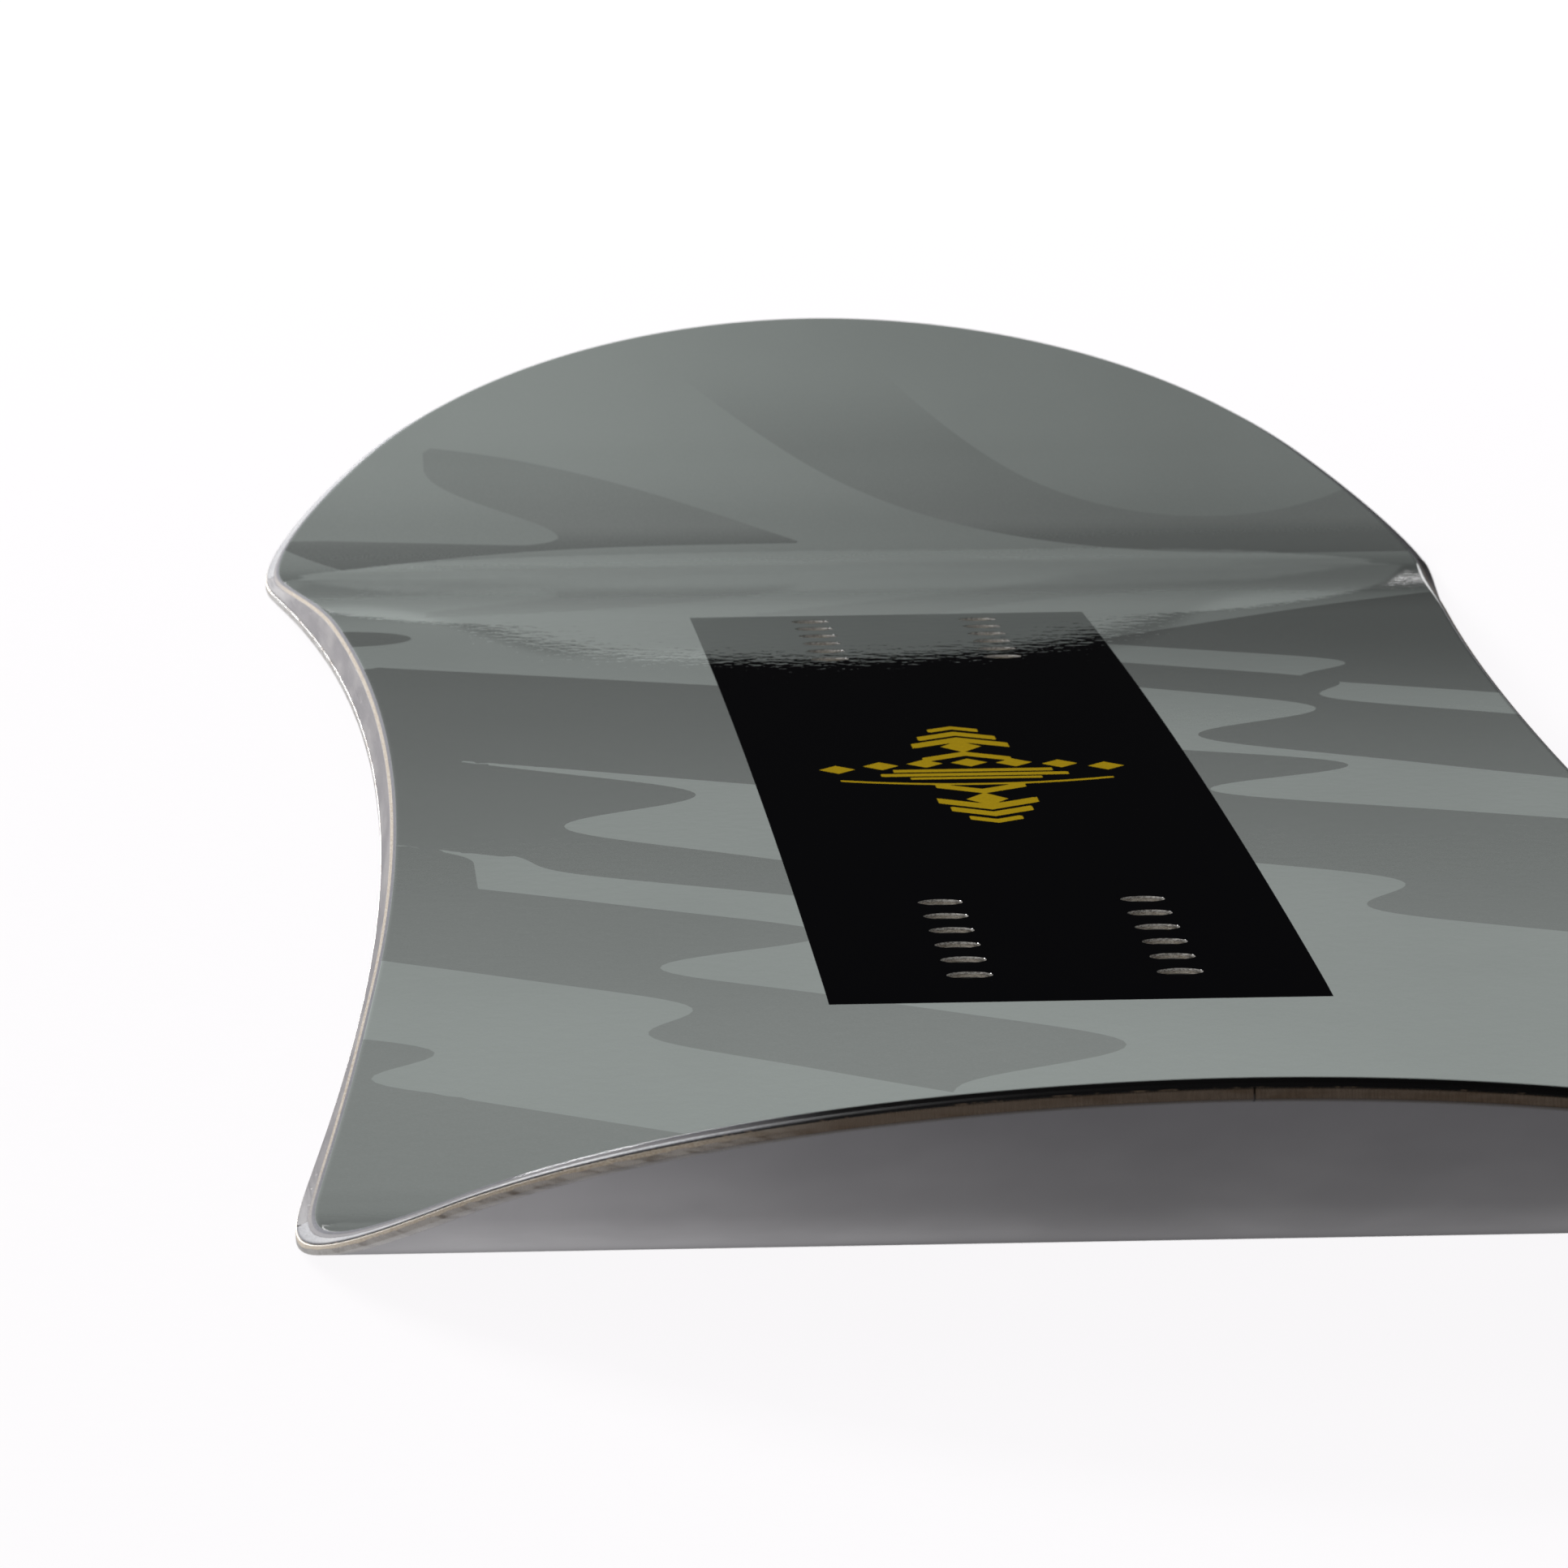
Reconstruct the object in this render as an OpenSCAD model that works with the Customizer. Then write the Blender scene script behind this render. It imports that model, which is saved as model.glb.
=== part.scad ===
// Twin-tip snowboard, built as the laminated sandwich that it is.
// Origin: middle of the board, on the plane that its two contact lines rest on.
// +Y runs towards the nose, +X to the rider's right, +Z up. All sizes are in millimetres.

/* [Outline] */
// Overall length, tip to tip in plan
board_l = 1525; // [1450:5:1600]
// Width across the widest points, near the nose and the tail
tip_w = 299; // [285:1:315]
// Width at the waist, halfway along
waist_w = 256; // [240:1:270]
// Distance from the middle to each widest point
wide_y = 565; // [540:5:580]
// How early the sidecut turns parallel before the widest point
sidecut_ease = 0.07; // [0.05:0.01:0.15]
// Fullness of the tip sideways, where 2 is an ellipse
tip_round_x = 1.94; // [1.8:0.02:2.4]
// Fullness of the tip lengthways, where 2 is an ellipse
tip_round_y = 2.12; // [1.8:0.02:2.4]

/* [Side profile] */
// Camber: height of the base above the floor at the waist
camber_h = 8; // [3:0.5:12]
// Distance from the middle to each contact line
contact_y = 546; // [520:2:550]
// Length of the flat stretch outside each contact line
contact_flat = 10; // [5:1:15]
// Radius of the upturn into the tip
kick_r = 370; // [320:10:420]
// Steepest angle of the upturn
kick_deg = 18.6; // [15:0.2:21]

/* [Layers] */
// Thickness of the polyethylene base sheet
base_t = 1.2; // [1:0.1:1.5]
// Thickness of the tangs of the steel edge
tang_t = 0.5; // [0.4:0.1:0.6]
// Thickness of the rubber foil over the edge
foil_t = 0.2; // [0.1:0.05:0.3]
// Thickness of the core at the waist
core_mid_t = 5.2; // [5:0.1:6.5]
// Thickness of the core and the spacers at the tips
core_tip_t = 1; // [0.8:0.1:1.6]
// Where the core starts to thin out, from the middle
taper_y = 336; // [332:2:380]
// Thickness of the upper glass laminate
glass_t = 0.6; // [0.4:0.1:0.8]
// Thickness of the topsheet
topsheet_t = 0.5; // [0.4:0.1:0.8]
// Thickness of the reinforcement mats under the bindings
mat_t = 0.25; // [0.2:0.05:0.4]

/* [Rim] */
// Width of the running part of the steel edge
edge_w = 2; // [1.8:0.1:2.4]
// Reach of the tangs inwards from the running part
tang_reach = 4.6; // [4:0.2:5]
// Spacing of the tangs along the edge
tang_pitch = 25; // [20:1:40]
// Inward reach of the sidewalls from the outline
sidewall_w = 9; // [8.6:0.2:12]
// How far the foot of the sidewall sits inside the outline
sidewall_foot = 0.2; // [0.1:0.1:0.4]
// How far the head of the sidewall sits inside the outline
sidewall_head = 2.1; // [1.5:0.1:2.2]
// Inset of the upper laminate from the outline
glass_inset = 2.4; // [2.3:0.1:2.8]
// Inset of the topsheet from the outline
topsheet_inset = 3; // [2.9:0.1:3.4]

/* [Core and inserts] */
// Width of one wood strip of the core, and half the spacing of the rows of inserts
strip_w = 20; // [19:0.5:21]
// Distance from the middle to the square ends of the core
core_end_y = 690; // [660:5:700]
// Distance between the middles of the two feet
stance = 560; // [540:5:570]
// Distance between neighbouring inserts along the board
insert_pitch = 20; // [18:1:20]
// Number of inserts in a row
inserts_per_row = 6; // [4:2:6]
// Radius of the threaded hole of an insert, at its minor diameter
insert_bore_r = 2.5; // [2.5:0.05:2.6]
// Radius of the barrel of an insert
insert_r = 4.5; // [4.5:0.1:4.8]
// Radius of the foot flange of an insert
insert_flange_r = 8; // [7:0.5:8.5]
// Height of an insert
insert_h = 4.6; // [4.4:0.1:4.6]
// Radius of the holes drilled through the deck above the inserts
deck_hole_r = 4.4; // [4.2:0.1:4.4]

/* [Hidden] */
$fn = 48;

half_l = board_l / 2;
// The rows of inserts run along the middles of the two stringers.
insert_rows = 2 * strip_w;
// Full strips on each side of the middle one
strips_side = 5;
lower_t = base_t + tang_t + foil_t;

// A level is [height above the base, share of the core's thickness added to it].
BOTTOM = [0, 0];
BASE_TOP = [base_t, 0];
EDGE_TOP = [base_t + tang_t, 0];
CORE_BOTTOM = [lower_t, 0];
MAT_BOTTOM = [lower_t - mat_t, 1];
CORE_TOP = [lower_t, 1];
GLASS_TOP = [lower_t + glass_t, 1];
DECK = [lower_t + glass_t + topsheet_t, 1];
OVER_DECK = [lower_t + 10, 1];

// Stations along half of the board, where the flat facets of every layer meet.
body_step = wide_y / 15;
body_y = concat([for (i = [0:11]) i * body_step], [for (i = [0:8]) (12 + i * 3 / 8) * body_step]);
kick_step = (half_l - wide_y) / 14;
kick_y = [for (i = [1:15]) wide_y + i * kick_step];
half_y = concat(body_y, kick_y);
profile_y = concat([for (i = [len(half_y) - 1:-1:1]) -half_y[i]], half_y);
tip_deg = 6;

// Fits and gaps
edge_gap = 0.3;
insert_lift = 0.2;
insert_floor = 0.8;
insert_flange_t = 1;
pocket_gap = 0.05;
foil_inset = 0.3;
foil_w = 8.2;
mat_l = 190;
mat_w = 5 * strip_w;
tang_neck_w = 4;
tang_head_w = 12;
tang_head_l = 2;
tang_root = 0.4;
cut_w = board_l;
plan_h = 100;

// Side profile: a camber arc, a short contact curve, a flat and a kick that ends straight.
camber_deg = 2 * atan(camber_h / contact_y);
camber_r = contact_y / sin(camber_deg) - kick_r;
camber_end = camber_r * sin(camber_deg);
kick_start = contact_y + contact_flat;
kick_arc_l = kick_r * sin(kick_deg);
kick_arc_h = kick_r * (1 - cos(kick_deg));

function arc_drop(r, x) = r - sqrt(r * r - x * x);

function base_z(y) =
    let (s = abs(y), e = s - kick_start)
    s < camber_end ? camber_h - arc_drop(camber_r, s)
    : s < contact_y ? arc_drop(kick_r, contact_y - s)
    : e < 0 ? 0
    : e < kick_arc_l ? arc_drop(kick_r, e)
    : kick_arc_h + (e - kick_arc_l) * tan(kick_deg);

function slope(y) = (base_z(y + 0.5) - base_z(y - 0.5));

function ease(t) = t * t * (3 - 2 * t);

function core_t(y) =
    let (t = (abs(y) - taper_y) / (wide_y - taper_y))
    core_mid_t + (core_tip_t - core_mid_t) * ease(min(max(t, 0), 1));

// Height of a level above the floor, measured square to the base.
function level_z(y, level) =
    base_z(y) + (level[0] + level[1] * core_t(y)) * sqrt(1 + pow(slope(y), 2));

// Half width between the widest points: a sidecut that turns parallel at the widest points.
function half_w(y) =
    let (t = abs(y) / wide_y, m = 2 * (1 + sidecut_ease) / sidecut_ease)
    waist_w / 2 + (tip_w - waist_w) / 2 * ((1 + sidecut_ease) * t * t - sidecut_ease * pow(t, m));

function side_x(y, inset) = half_w(y) - inset * sqrt(1 + pow(half_w(y + 0.5) - half_w(y - 0.5), 2));

// A quarter of the tip, by the angle a from the widest point to the apex.
function tip_curve(a) = [
    tip_w / 2 * pow(cos(a), 2 / tip_round_x),
    wide_y + (half_l - wide_y) * pow(sin(a), 2 / tip_round_y)
];

function tip_point(a, inset) =
    let (d = tip_curve(a + 0.5) - tip_curve(a - 0.5), p = tip_curve(a))
    [p[0] - inset * d[1] / norm(d), p[1] + inset * d[0] / norm(d)];

function quarter(inset) = concat(
    [for (y = body_y) [side_x(min(y, wide_y - 1), inset), y]],
    [for (a = [tip_deg:tip_deg:90 - tip_deg]) tip_point(a, inset)]
);

function flipped(points) = [for (i = [len(points) - 1:-1:0]) points[i]];

// The closed outline, moved inwards by inset.
function outline(inset) =
    let (q = quarter(inset), apex = half_l - inset)
    concat(
        q,
        [[0, apex]],
        [for (p = flipped(q)) [-p[0], p[1]]],
        [for (i = [1:len(q) - 1]) [-q[i][0], -q[i][1]]],
        [[0, -apex]],
        [for (i = [len(q) - 1:-1:1]) [q[i][0], -q[i][1]]]
    );

// Everything between two levels, over the full width and length.
module slab(low, high)
    rotate([90, 0, 90])
        linear_extrude(cut_w, center = true)
            polygon(concat(
                [for (y = profile_y) [y, level_z(y, low)]],
                [for (y = flipped(profile_y)) [y, level_z(y, high)]]
            ));

module upright() translate([0, 0, -plan_h / 2]) linear_extrude(2 * plan_h) children();

// A layer between two levels, with the plan given as 2-D children.
module layer(low, high)
    intersection() {
        slab(low, high);
        upright() children();
    }

module ring(outer, inner)
    difference() {
        polygon(outline(outer));
        polygon(outline(inner));
    }

// One side of the board: -1 is the left side, 1 the right.
module half_plane(side, gap)
    translate([side > 0 ? gap / 2 : -cut_w - gap / 2, -cut_w])
        square([cut_w, 2 * cut_w]);

// Where the tangs of one side stand: [x, y, direction of the outward normal].
function tang_places(side) = concat(
    [
        for (y = [-floor(wide_y / tang_pitch) * tang_pitch:tang_pitch:wide_y])
            [side * side_x(y, edge_w), y, side > 0 ? 0 : 180]
    ],
    [
        for (end = [-1, 1], a = [18:12:78])
            let (p = tip_point(a, edge_w), q = tip_curve(a) - p)
            [side * p[0], end * p[1], atan2(end * q[1], side * q[0])]
    ]
);

module tang()
    translate([-tang_reach, 0])
        union() {
            translate([0, -tang_head_w / 2]) square([tang_head_l, tang_head_w]);
            translate([0, -tang_neck_w / 2]) square([tang_reach + tang_root, tang_neck_w]);
        }

module steel_edge(side)
    color("#8f9396")
        union() {
            layer(BOTTOM, EDGE_TOP)
                intersection() {
                    ring(0, edge_w);
                    half_plane(side, edge_gap);
                }
            layer(BASE_TOP, EDGE_TOP)
                for (p = tang_places(side))
                    translate([p[0], p[1]]) rotate(p[2]) tang();
        }

module edge_foil(side)
    color("#2b2b2d")
        layer(EDGE_TOP, CORE_BOTTOM)
            intersection() {
                ring(foil_inset, foil_inset + foil_w);
                half_plane(side, edge_gap);
            }

module base_sheet()
    color("#8a8894")
        layer(BOTTOM, BASE_TOP) polygon(outline(edge_w));

module lower_laminate()
    color("#c8b98e")
        layer(BASE_TOP, CORE_BOTTOM) polygon(outline(foil_inset + foil_w));

// The four corners of a sidewall's section at one station, from the foot outwards and up.
function sidewall_section(side, y) =
    let (yc = sign(y) * min(abs(y), wide_y - 1))
    [
        [side * side_x(yc, sidewall_w), y, level_z(y, CORE_BOTTOM)],
        [side * side_x(yc, sidewall_foot), y, level_z(y, CORE_BOTTOM)],
        [side * side_x(yc, sidewall_head), y, level_z(y, CORE_TOP)],
        [side * side_x(yc, sidewall_w), y, level_z(y, CORE_TOP)]
    ];

sidewall_y = concat(flipped([for (i = [1:len(body_y) - 1]) -body_y[i]]), body_y);

module sidewall(side)
    color("#1d1e20")
        polyhedron(
            points = [for (y = sidewall_y) each sidewall_section(side, y)],
            faces = concat(
                [[0, 1, 2, 3]],
                [
                    for (i = [0:len(sidewall_y) - 2], k = [0:3])
                        let (a = 4 * i + k, b = 4 * i + (k + 1) % 4)
                        each [[a, a + 4, b], [b, a + 4, b + 4]]
                ],
                [[for (k = [3:-1:0]) 4 * (len(sidewall_y) - 1) + k]]
            ),
            convexity = 4
        );

module left_sidewall() sidewall(-1);

module right_sidewall() mirror([1, 0, 0]) sidewall(-1);

module core_plan()
    intersection() {
        polygon(outline(sidewall_w));
        square([cut_w, 2 * core_end_y], center = true);
    }

// The filler that continues the core and the sidewalls round a tip: end is 1 at the nose.
module tip_spacer(end)
    color("#1b1b1d")
        layer(CORE_BOTTOM, CORE_TOP)
            difference() {
                intersection() {
                    polygon(outline(sidewall_foot + sidewall_head / 2));
                    translate([-cut_w / 2, end > 0 ? wide_y : -wide_y - cut_w]) square(cut_w);
                }
                core_plan();
            }

function foot_y(end) = end * stance / 2;

function insert_places() = [
    for (end = [-1, 1], side = [-1, 1], i = [0:inserts_per_row - 1])
        [side * insert_rows / 2, foot_y(end) + (i - (inserts_per_row - 1) / 2) * insert_pitch]
];

function insert_z(y) = level_z(y, CORE_BOTTOM) + insert_lift;

module deck_holes()
    for (p = insert_places())
        translate([p[0], p[1], 0]) cylinder(h = plan_h, r = deck_hole_r);

module mat_plan(end) translate([0, foot_y(end)]) square([mat_w, mat_l], center = true);

// The pockets that the reinforcement mats and the inserts take out of the core.
module mat_pockets()
    layer(MAT_BOTTOM, OVER_DECK)
        for (end = [-1, 1])
            mat_plan(end);

module insert_pockets()
    for (p = insert_places())
        translate([p[0], p[1], 0]) {
            cylinder(h = plan_h, r = insert_r + pocket_gap);
            cylinder(h = insert_z(p[1]) + insert_flange_t + pocket_gap, r = insert_flange_r + pocket_gap);
        }

// A strip of the core between two distances from the middle line, on one side.
module core_strip(x0, x1)
    layer(CORE_BOTTOM, CORE_TOP)
        intersection() {
            core_plan();
            translate([x0, -cut_w / 2]) square([x1 - x0, cut_w]);
        }

module centre_strip()
    difference() {
        core_strip(-strip_w / 2, strip_w / 2);
        mat_pockets();
    }

// Strip number k on one side: 1 carries the inserts, the last is the rail.
module numbered_strip(side, k) {
    low = (k - 0.5) * strip_w;
    high = k > strips_side ? tip_w / 2 : low + strip_w;
    difference() {
        if (side < 0) core_strip(-high, -low); else core_strip(low, high);
        if (k <= 2) mat_pockets();
        if (k == 1) insert_pockets();
    }
}

module beech() color("#b98d5c") children();

module poplar() color("#dcc89a") children();

module paulownia() color("#cdb488") children();

module insert_row(side, end)
    color("#b9bcbf")
        for (i = [0:inserts_per_row - 1]) {
            y = foot_y(end) + (i - (inserts_per_row - 1) / 2) * insert_pitch;
            translate([side * insert_rows / 2, y, insert_z(y)])
                difference() {
                    union() {
                        cylinder(h = insert_h, r = insert_r);
                        cylinder(h = insert_flange_t, r = insert_flange_r);
                    }
                    translate([0, 0, insert_floor]) cylinder(h = insert_h, r = insert_bore_r);
                }
        }

module binding_mat(end)
    color("#3a3d3c")
        difference() {
            layer(MAT_BOTTOM, CORE_TOP) mat_plan(end);
            deck_holes();
        }

module upper_laminate()
    color("#cbbf9a")
        difference() {
            layer(CORE_TOP, GLASS_TOP) polygon(outline(glass_inset));
            deck_holes();
        }

module topsheet()
    color("#858c88")
        difference() {
            layer(GLASS_TOP, DECK) polygon(outline(topsheet_inset));
            deck_holes();
        }

base_sheet();
steel_edge(-1);  // steel_edge_left
steel_edge(1);  // steel_edge_right
edge_foil(-1);  // edge_foil_left
edge_foil(1);  // edge_foil_right
lower_laminate();
left_sidewall();  // sidewall_left
right_sidewall();  // sidewall_right
tip_spacer(1);  // tip_spacer_nose
tip_spacer(-1);  // tip_spacer_tail
paulownia() centre_strip();  // core_strip_centre
beech() numbered_strip(-1, 1);  // core_stringer_left
beech() numbered_strip(1, 1);  // core_stringer_right
poplar() numbered_strip(-1, 2);  // core_strip_left_2
paulownia() numbered_strip(-1, 3);  // core_strip_left_3
poplar() numbered_strip(-1, 4);  // core_strip_left_4
paulownia() numbered_strip(-1, 5);  // core_strip_left_5
poplar() numbered_strip(1, 2);  // core_strip_right_2
paulownia() numbered_strip(1, 3);  // core_strip_right_3
poplar() numbered_strip(1, 4);  // core_strip_right_4
paulownia() numbered_strip(1, 5);  // core_strip_right_5
poplar() numbered_strip(-1, 6);  // core_rail_left
poplar() numbered_strip(1, 6);  // core_rail_right
insert_row(-1, -1);  // inserts_tail_left
insert_row(1, -1);  // inserts_tail_right
insert_row(-1, 1);  // inserts_nose_left
insert_row(1, 1);  // inserts_nose_right
binding_mat(1);  // binding_mat_nose
binding_mat(-1);  // binding_mat_tail
upper_laminate();
topsheet();
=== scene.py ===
import math

import bpy
import numpy as np
from mathutils import Matrix, Vector, geometry


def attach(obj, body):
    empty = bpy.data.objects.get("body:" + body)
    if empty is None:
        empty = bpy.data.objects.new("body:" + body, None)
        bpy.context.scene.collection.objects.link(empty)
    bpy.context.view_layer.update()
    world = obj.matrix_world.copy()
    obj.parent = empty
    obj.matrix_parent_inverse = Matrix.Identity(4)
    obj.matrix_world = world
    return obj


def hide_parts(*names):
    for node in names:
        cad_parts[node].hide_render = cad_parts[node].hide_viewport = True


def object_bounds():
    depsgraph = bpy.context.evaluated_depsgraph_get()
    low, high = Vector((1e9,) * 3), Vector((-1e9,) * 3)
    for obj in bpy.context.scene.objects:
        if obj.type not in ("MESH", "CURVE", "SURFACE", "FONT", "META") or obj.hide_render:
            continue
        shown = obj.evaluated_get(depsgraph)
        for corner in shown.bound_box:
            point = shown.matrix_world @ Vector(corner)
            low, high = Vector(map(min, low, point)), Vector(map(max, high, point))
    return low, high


# The looks of a snowboard. Meshes are worked out in millimetres in the CAD model's frame, and made
# in metres. Left is at -x, right at x, the tail at -y, the nose at y, and the floor at z = 0.
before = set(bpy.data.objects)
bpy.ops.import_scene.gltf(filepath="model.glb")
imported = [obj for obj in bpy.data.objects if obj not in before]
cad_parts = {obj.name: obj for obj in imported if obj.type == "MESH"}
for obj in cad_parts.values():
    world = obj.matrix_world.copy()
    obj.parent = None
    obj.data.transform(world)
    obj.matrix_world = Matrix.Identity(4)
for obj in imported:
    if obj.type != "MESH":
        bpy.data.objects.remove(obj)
CAD_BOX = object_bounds()
MM = 0.001

# ------------------------ sizes, as in the CAD model
HALF_L = CAD_BOX[1].y / MM
TIP_W = (CAD_BOX[1].x - CAD_BOX[0].x) / MM
WAIST_W = 256.0
WIDE_Y = 565.0
SIDECUT_EASE = 0.07
TIP_ROUND_X = 1.94
TIP_ROUND_Y = 2.12

CAMBER_H = 8.0
CONTACT_Y = 546.0
CONTACT_FLAT = 10.0
KICK_R = 370.0
KICK_ANGLE = math.radians(18.6)
CAMBER_ANGLE = 2 * math.atan(CAMBER_H / CONTACT_Y)
CAMBER_R = CONTACT_Y / math.sin(CAMBER_ANGLE) - KICK_R
CAMBER_END = CAMBER_R * math.sin(CAMBER_ANGLE)
KICK_START = CONTACT_Y + CONTACT_FLAT
KICK_ARC = KICK_R * math.sin(KICK_ANGLE)

CORE_MID_T = 5.2
CORE_TIP_T = 1.0
TAPER_Y = 336.0
CORE_END_Y = 690.0
EDGE_W = 2.0
EDGE_GAP = 0.3
SIDEWALL_W = 9.0
FOIL_IN = 0.3
FOIL_W = 8.2

# Heights of the layers' faces above the base. Those over the core also rise with its thickness.
BASE_TOP = 1.2
EDGE_TOP = 1.7
CORE_BOTTOM = 1.9
GLASS_BOTTOM = 1.9
GLASS_TOP = 2.5
DECK_TOP = 3.0

INSERT_ROW_X = 20.0
INSERT_PITCH = 20.0
INSERT_COUNT = 6
STANCE = 560.0
INSERT_LIFT = 0.2
DECK_HOLE_R = 4.4
HOLE_SIDES = 48

# ------------------------ outline and profile


def arc_drop(radius, run):
    """How far a circle falls away from its tangent after a run along it."""
    return radius - np.sqrt(radius * radius - run * run)


def base_z(y):
    """Height of the base above the floor: a camber arc, a short contact curve, a flat and a kick."""
    s = np.abs(y)
    camber = CAMBER_H - arc_drop(CAMBER_R, np.minimum(s, CAMBER_END))
    contact = arc_drop(KICK_R, np.clip(CONTACT_Y - s, 0, CONTACT_Y - CAMBER_END))
    past = np.clip(s - KICK_START, 0, None)
    kick = arc_drop(KICK_R, np.minimum(past, KICK_ARC))
    straight = np.clip(past - KICK_ARC, 0, None) * math.tan(KICK_ANGLE)
    return np.where(s < CAMBER_END, camber, contact + kick + straight)


def slope(y):
    return base_z(y + 0.5) - base_z(y - 0.5)


def ease(t):
    t = np.clip(t, 0, 1)
    return t * t * (3 - 2 * t)


def core_t(y):
    return CORE_MID_T + (CORE_TIP_T - CORE_MID_T) * ease((np.abs(y) - TAPER_Y) / (WIDE_Y - TAPER_Y))


def level_z(y, height, over_core):
    """Height above the floor of a layer's face, where over_core is 1 for the faces above the core."""
    return base_z(y) + (height + over_core * core_t(y)) * np.sqrt(1 + slope(y) ** 2)


def half_w(y):
    """Half width between the widest points: a sidecut that turns parallel at its ends."""
    t = np.abs(y) / WIDE_Y
    m = 2 * (1 + SIDECUT_EASE) / SIDECUT_EASE
    return WAIST_W / 2 + (TIP_W - WAIST_W) / 2 * ((1 + SIDECUT_EASE) * t * t - SIDECUT_EASE * t**m)


def side_x(y, inset):
    y = np.minimum(np.abs(y), WIDE_Y - 1)
    return half_w(y) - inset * np.sqrt(1 + (half_w(y + 0.5) - half_w(y - 0.5)) ** 2)


def tip_curve(a):
    x = TIP_W / 2 * np.cos(a) ** (2 / TIP_ROUND_X)
    y = WIDE_Y + (HALF_L - WIDE_Y) * np.sin(a) ** (2 / TIP_ROUND_Y)
    return np.column_stack([x, y])


BODY_Y = np.linspace(0, WIDE_Y, 114)
TIP_A = np.radians(np.arange(1.5, 89, 1.5))
HALF_DEGREE = math.radians(0.5)


def quarter(inset):
    """The outline from the waist up to just before the nose's apex, moved inwards by inset."""
    body = np.column_stack([side_x(BODY_Y, inset), BODY_Y])
    d = tip_curve(TIP_A + HALF_DEGREE) - tip_curve(TIP_A - HALF_DEGREE)
    d /= np.linalg.norm(d, axis=1)[:, None]
    tip = tip_curve(TIP_A) + inset * np.column_stack([-d[:, 1], d[:, 0]])
    return np.vstack([body, tip])


def loop(inset):
    """The whole outline, counter-clockwise from the middle of the right side."""
    q = quarter(inset)
    apex = HALF_L - inset
    return np.vstack([
        q,
        [[0, apex]],
        q[::-1] * [-1, 1],
        q[1:] * [-1, -1],
        [[0, -apex]],
        q[:0:-1] * [1, -1],
    ])


QUARTER_N = len(BODY_Y) + len(TIP_A)
NOSE_APEX = QUARTER_N
TAIL_APEX = 3 * QUARTER_N


def half_loop(side):
    """Path of one side's half of the outline. It stops short of the apexes by half the edge's gap."""

    def path(inset):
        whole = loop(inset)
        if side < 0:
            part = whole[NOSE_APEX:TAIL_APEX + 1]
        else:
            part = np.vstack([whole[TAIL_APEX:], whole[:NOSE_APEX + 1]])
        x = side * np.maximum(np.abs(part[:, 0]), EDGE_GAP / 2)
        return np.column_stack([x, part[:, 1]])

    return path


def flank(side):
    """Path of one side between the widest points."""

    def path(inset):
        y = np.concatenate([-BODY_Y[:0:-1], BODY_Y])
        if side < 0:
            y = y[::-1]
        return np.column_stack([side * side_x(y, inset), y])

    return path


def tip_path(end):
    """Path round one tip, from widest point to widest point."""

    def path(inset):
        q = quarter(inset)[len(BODY_Y) - 1:]
        arc = np.vstack([q, [[0, HALF_L - inset]], q[::-1] * [-1, 1]])
        return arc if end > 0 else -arc

    return path


# ------------------------ mesh building


def unit(vectors):
    return vectors / np.linalg.norm(vectors, axis=1)[:, None]


def upward(y, height, over_core):
    """Unit normals of a layer's face."""
    rise = level_z(y + 0.5, height, over_core) - level_z(y - 0.5, height, over_core)
    return unit(np.column_stack([np.zeros_like(y), -rise, np.ones_like(y)]))


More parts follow.
